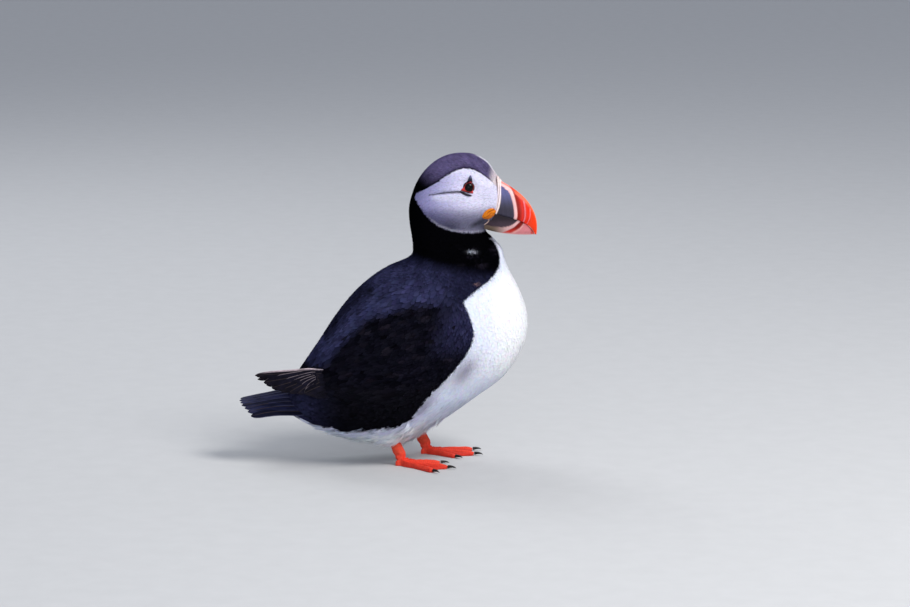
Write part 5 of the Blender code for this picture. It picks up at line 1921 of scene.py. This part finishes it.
def blades_piece(name, blades, colour_of, look):
    """One joined mesh of several firm feathers."""
    points, faces, vanes, paint, start = [], [], [], [], 0
    for k, (rings, vane) in enumerate(blades):
        flat, uv = rings.reshape(-1, 3), vane.reshape(-1, 2)
        luck = (k * 0.37) % 1
        points.append(flat)
        faces += [tuple(start + i for i in face) for face in ring_faces(*rings.shape[:2])]
        vanes.append(np.column_stack([uv, np.full(len(uv), luck)]))
        paint.append(colour_of(uv[:, 0], uv[:, 1], luck))
        start += len(flat)
    mesh = mesh_from(name, np.concatenate(points), faces)
    face_out(mesh)
    set_paint(mesh, np.concatenate(paint))
    set_vane(mesh, np.concatenate(vanes))
    return add_object(name, mesh, look)


def vane_widths(rows, half, round_from):
    """Places across a blade at each row, narrow at the root and rounded at the tip."""
    u = np.linspace(0, 1, rows)
    fade = np.maximum(u - round_from, 0) / (1.001 - round_from)
    shape = np.minimum(1.0, 0.45 + 2.2 * u) * np.sqrt(np.maximum(1 - fade**2, 0.004))
    return half * shape[:, None] * np.linspace(-1, 1, BLADE_ACROSS)[None]


# Tips along the blade's lower edge, x, z, from the longest down, then those of the inner feathers
PRIMARY_TIPS = (
    (-90, 61), (-84, 56.5), (-78.5, 53.2), (-72.5, 51.8), (-66.5, 51), (-60.5, 50.6), (-55, 50.3),
    (-50, 50.1), (-46, 50),
)
INNER_TIPS = ((-56.0, 51.0), (-54.0, 50.8), (-52.0, 50.6), (-50.0, 50.4))
TIP_DROP = {"right": 0.0, "left": 8.5}
PRIMARY_BLACK = rgb(0.0070, 0.0060, 0.0130)
PRIMARY_WORN = rgb(0.014, 0.011, 0.014)
PRIMARY_EDGE = rgb(0.55, 0.44, 0.47)
# the tail's blue on black and its paler blue tips: painted sheen
TAIL_BLACK, TAIL_TIP_SHEEN = rgb(0.008, 0.009, 0.030), rgb(0.034, 0.036, 0.080)


def depth_at(tree, x, z, side):
    """Depth of a folded blade's outer face at x, z, or at its nearest place in height."""
    for step in (0.0, 0.8, -0.8, 1.8, -1.8, 3.0, -3.0, 5.0, -5.0, 8.0, -8.0):
        hit, _, _, _ = tree.ray_cast(Vector((x, side * BESIDE, z + step)), Vector((0, -side, 0)))
        if hit is not None:
            return hit.y
    return side * 20.0


def make_primaries(side_name, look):
    """The long wing feathers, each shorter one lying over the longer one above it."""
    side = SIDES[side_name]
    tree = tree_of([node_mesh("primaries_" + side_name), node_mesh("wing_" + side_name)])
    f = np.linspace(0, 1, BLADE_ROWS)[:, None]
    blades, feathers = [], []
    for k, tip in enumerate(PRIMARY_TIPS):
        feathers.append(((-40.0, 66.6 - 1.1 * k), tip, -0.4 + 0.85 * k, 0.13 * k))
    for k, tip in enumerate(INNER_TIPS):
        feathers.append(((-34.0, 60.0 - 2.5 * k), tip, 1.5, 1.25 + 0.12 * k))
    for root, tip, bow, over in feathers:
        root, tip = np.array(root), np.array(tip)
        bend = between(root, tip, 0.52) + np.array([0.0, bow])
        flat = (1 - f) ** 2 * root + 2 * f * (1 - f) * bend + f**2 * tip
        flat[:, 1] -= TIP_DROP[side_name] * fall(flat[:, 0], -32, 26)
        y = np.array([depth_at(tree, x, z, side) for x, z in flat])
        lift = between(-3.2, over - 0.7, fall(flat[:, 0], -41, 8))
        line = np.stack([flat[:, 0], smoothed(y, 6) + side * lift, flat[:, 1]], 1)
        outs = np.tile(unit(np.array([0.0, side, 0.25])), (BLADE_ROWS, 1))
        widths = vane_widths(BLADE_ROWS, 3.9 if over else 2.8, 0.62) * side
        blades.append(blade(line, outs, widths, 0.25))

    def colour_of(u, v, luck):
        edge = 0.95 * rise(v, 0.62, 0.2) * fall(u, 0.97, 0.2) * (luck == 0)
        base = PRIMARY_BLACK * (0.7 + 0.6 * luck)
        return layered(base, [(0.5 * rise(u, 0.8, 0.2), PRIMARY_WORN), (edge, PRIMARY_EDGE)])

    return blades_piece("primary_feathers_" + side_name, blades, colour_of, look)


# Sizes of the tail fan
TAIL_ROOT_X, TAIL_TIP_X = -50.0, -100.8
TAIL_ROOT_Z, TAIL_TIP_Z = 46.0, 41.6
TAIL_ROOT_HALF, TAIL_HALF = 13.5, 20.0
TAIL_ARCH, TAIL_RISE = 14.0, 2.4
TAIL_FEATHERS = 14


def make_tail(look):
    """The fan of tail feathers, the middle ones on top."""
    blades = []
    f = np.linspace(0, 1, TAIL_ROWS)
    order = sorted(range(TAIL_FEATHERS), key=lambda k: -abs(k - (TAIL_FEATHERS - 1) / 2))
    draw = np.random.default_rng(91)
    for layer, k in enumerate(order):
        share = 2 * k / (TAIL_FEATHERS - 1) - 1
        tip_y = share * (TAIL_HALF - 3.4)
        reach = 1.02 - 0.17 * abs(share) ** 2.4 - 0.035 * (layer % 4 == 1) - draw.uniform(0, 0.02)
        x = between(TAIL_ROOT_X, between(TAIL_ROOT_X, TAIL_TIP_X, reach), f)
        y = between(share * TAIL_ROOT_HALF, tip_y, f**0.85)
        along = (x - TAIL_ROOT_X) / (TAIL_TIP_X - TAIL_ROOT_X)
        thick = between(12.0, 2.4, ease(along * 1.3)) / 2
        z = between(TAIL_ROOT_Z, TAIL_TIP_Z, along) - TAIL_ARCH * (y / TAIL_HALF) ** 2
        z = z + TAIL_RISE * np.sin(math.pi * along)
        z = z + np.maximum(thick - 0.5, 0.9) * (1.5 * (layer / TAIL_FEATHERS) - 0.65)
        line = np.stack([x, y, z], 1)
        tilt = math.atan2(2 * TAIL_ARCH * tip_y / TAIL_HALF**2, 1.0)
        outs = np.tile(np.array([0.0, math.sin(tilt), math.cos(tilt)]), (TAIL_ROWS, 1))
        blades.append(blade(line, outs, vane_widths(TAIL_ROWS, 3.7, 0.74), 0.3, thick=0.35))

    def colour_of(u, _, luck):
        # paler blue on the tips of some feathers: painted sheen
        patchy = 0.8 * luck * rise(u, 0.75, 0.2)
        return layered(TAIL_BLACK * (0.5 + 1.0 * luck), [(patchy, TAIL_TIP_SHEEN)])

    return blades_piece("tail_feathers", blades, colour_of, look)


# ------- making

def settle(piece, slot, *nodes):
    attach(piece, "root")
    if nodes:
        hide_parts(*nodes)


def make_skin_look():
    look = Nodes("skin_under_coat")
    grain = look.noise(look.place(), 1400.0, 2.0)
    look.set(
        Base_Color=look.painted(look.ramp(grain, 0.3, 0.7, 0.7, 1.0)),
        Roughness=0.75,
        Normal=look.bump(grain, 0.2, 0.0002),
        Specular_IOR_Level=0.0,
    )
    return look.material


def make_skin():
    set_paint(skin.mesh, markings(skin.points) * 0.8, least=0.0)
    piece = add_object("skin", skin.mesh, make_skin_look())
    sides = [part + name for part in ("thigh_", "wing_") for name in SIDES]
    settle(piece, "plumage_black", "trunk", "neck", "head", *sides)


def make_bill():
    horn = make_horn_look()
    settle(bill_upper(horn), "bill_horn", "bill_upper")
    settle(bill_lower(horn), "bill_horn", "bill_lower")
    settle(bill_cere(make_flesh_look("cere_fine", 0.38, 1500.0, 0.00008)), "cere", "cere")


def make_eyes():
    ball_look, horn = make_eye_look(), make_horn_look()
    lid_look = make_flesh_look("eye_ring_fine", 0.34, 2600.0, 0.00006)
    for eye in skin.eyes:
        settle(make_eyeball(eye, ball_look), "eye", "eye_" + eye.name)
        settle(make_eye_ring(eye, lid_look), "eye_ring", "eye_ring_" + eye.name)
        spike = make_plate("eye_spike_" + eye.name, eye, SPIKE, 0.9, spike_colour, horn)
        settle(spike, "eye_plate", "eye_plate_upper_" + eye.name)
        bar = make_plate("eye_bar_" + eye.name, eye, BAR, 0.75, bar_colour, horn)
        settle(bar, "eye_plate", "eye_plate_lower_" + eye.name)


def make_sides():
    """What the bird has on each side: rosette, foot, claws and flight feathers."""
    flesh = make_flesh_look("rosette_fine", 0.36, 1300.0, 0.00010)
    leather = make_flesh_look("foot_fine", 0.46, 1100.0, 0.00012)
    horn = make_horn_look()
    wing_vane = make_flight_look("primary_feather", (0.16, 0.13, 0.14), 0.86, False)
    tail_vane = make_flight_look("tail_feather", (0.036, 0.038, 0.080), 0.82, True)
    for side_name in SIDES:
        settle(make_rosette(side_name, flesh), "rosette", "rosette_" + side_name)
        settle(make_gape_fold(side_name, flesh), "rosette")
        settle(make_foot(side_name, leather), "leg_skin", "foot_" + side_name, "leg_" + side_name)
        claws, names = make_claws(side_name, horn)
        settle(claws, "claw_horn", *names)
        settle(make_primaries(side_name, wing_vane), "flight_feathers", "primaries_" + side_name)
    settle(make_tail(tail_vane), "flight_feathers", "tail")


make_skin()
make_bill()
make_eyes()
make_sides()
coat_look = make_coat_look()
for make in (make_coat, make_large_feathers, make_tail_coverts, make_wisps):
    make(coat_look)
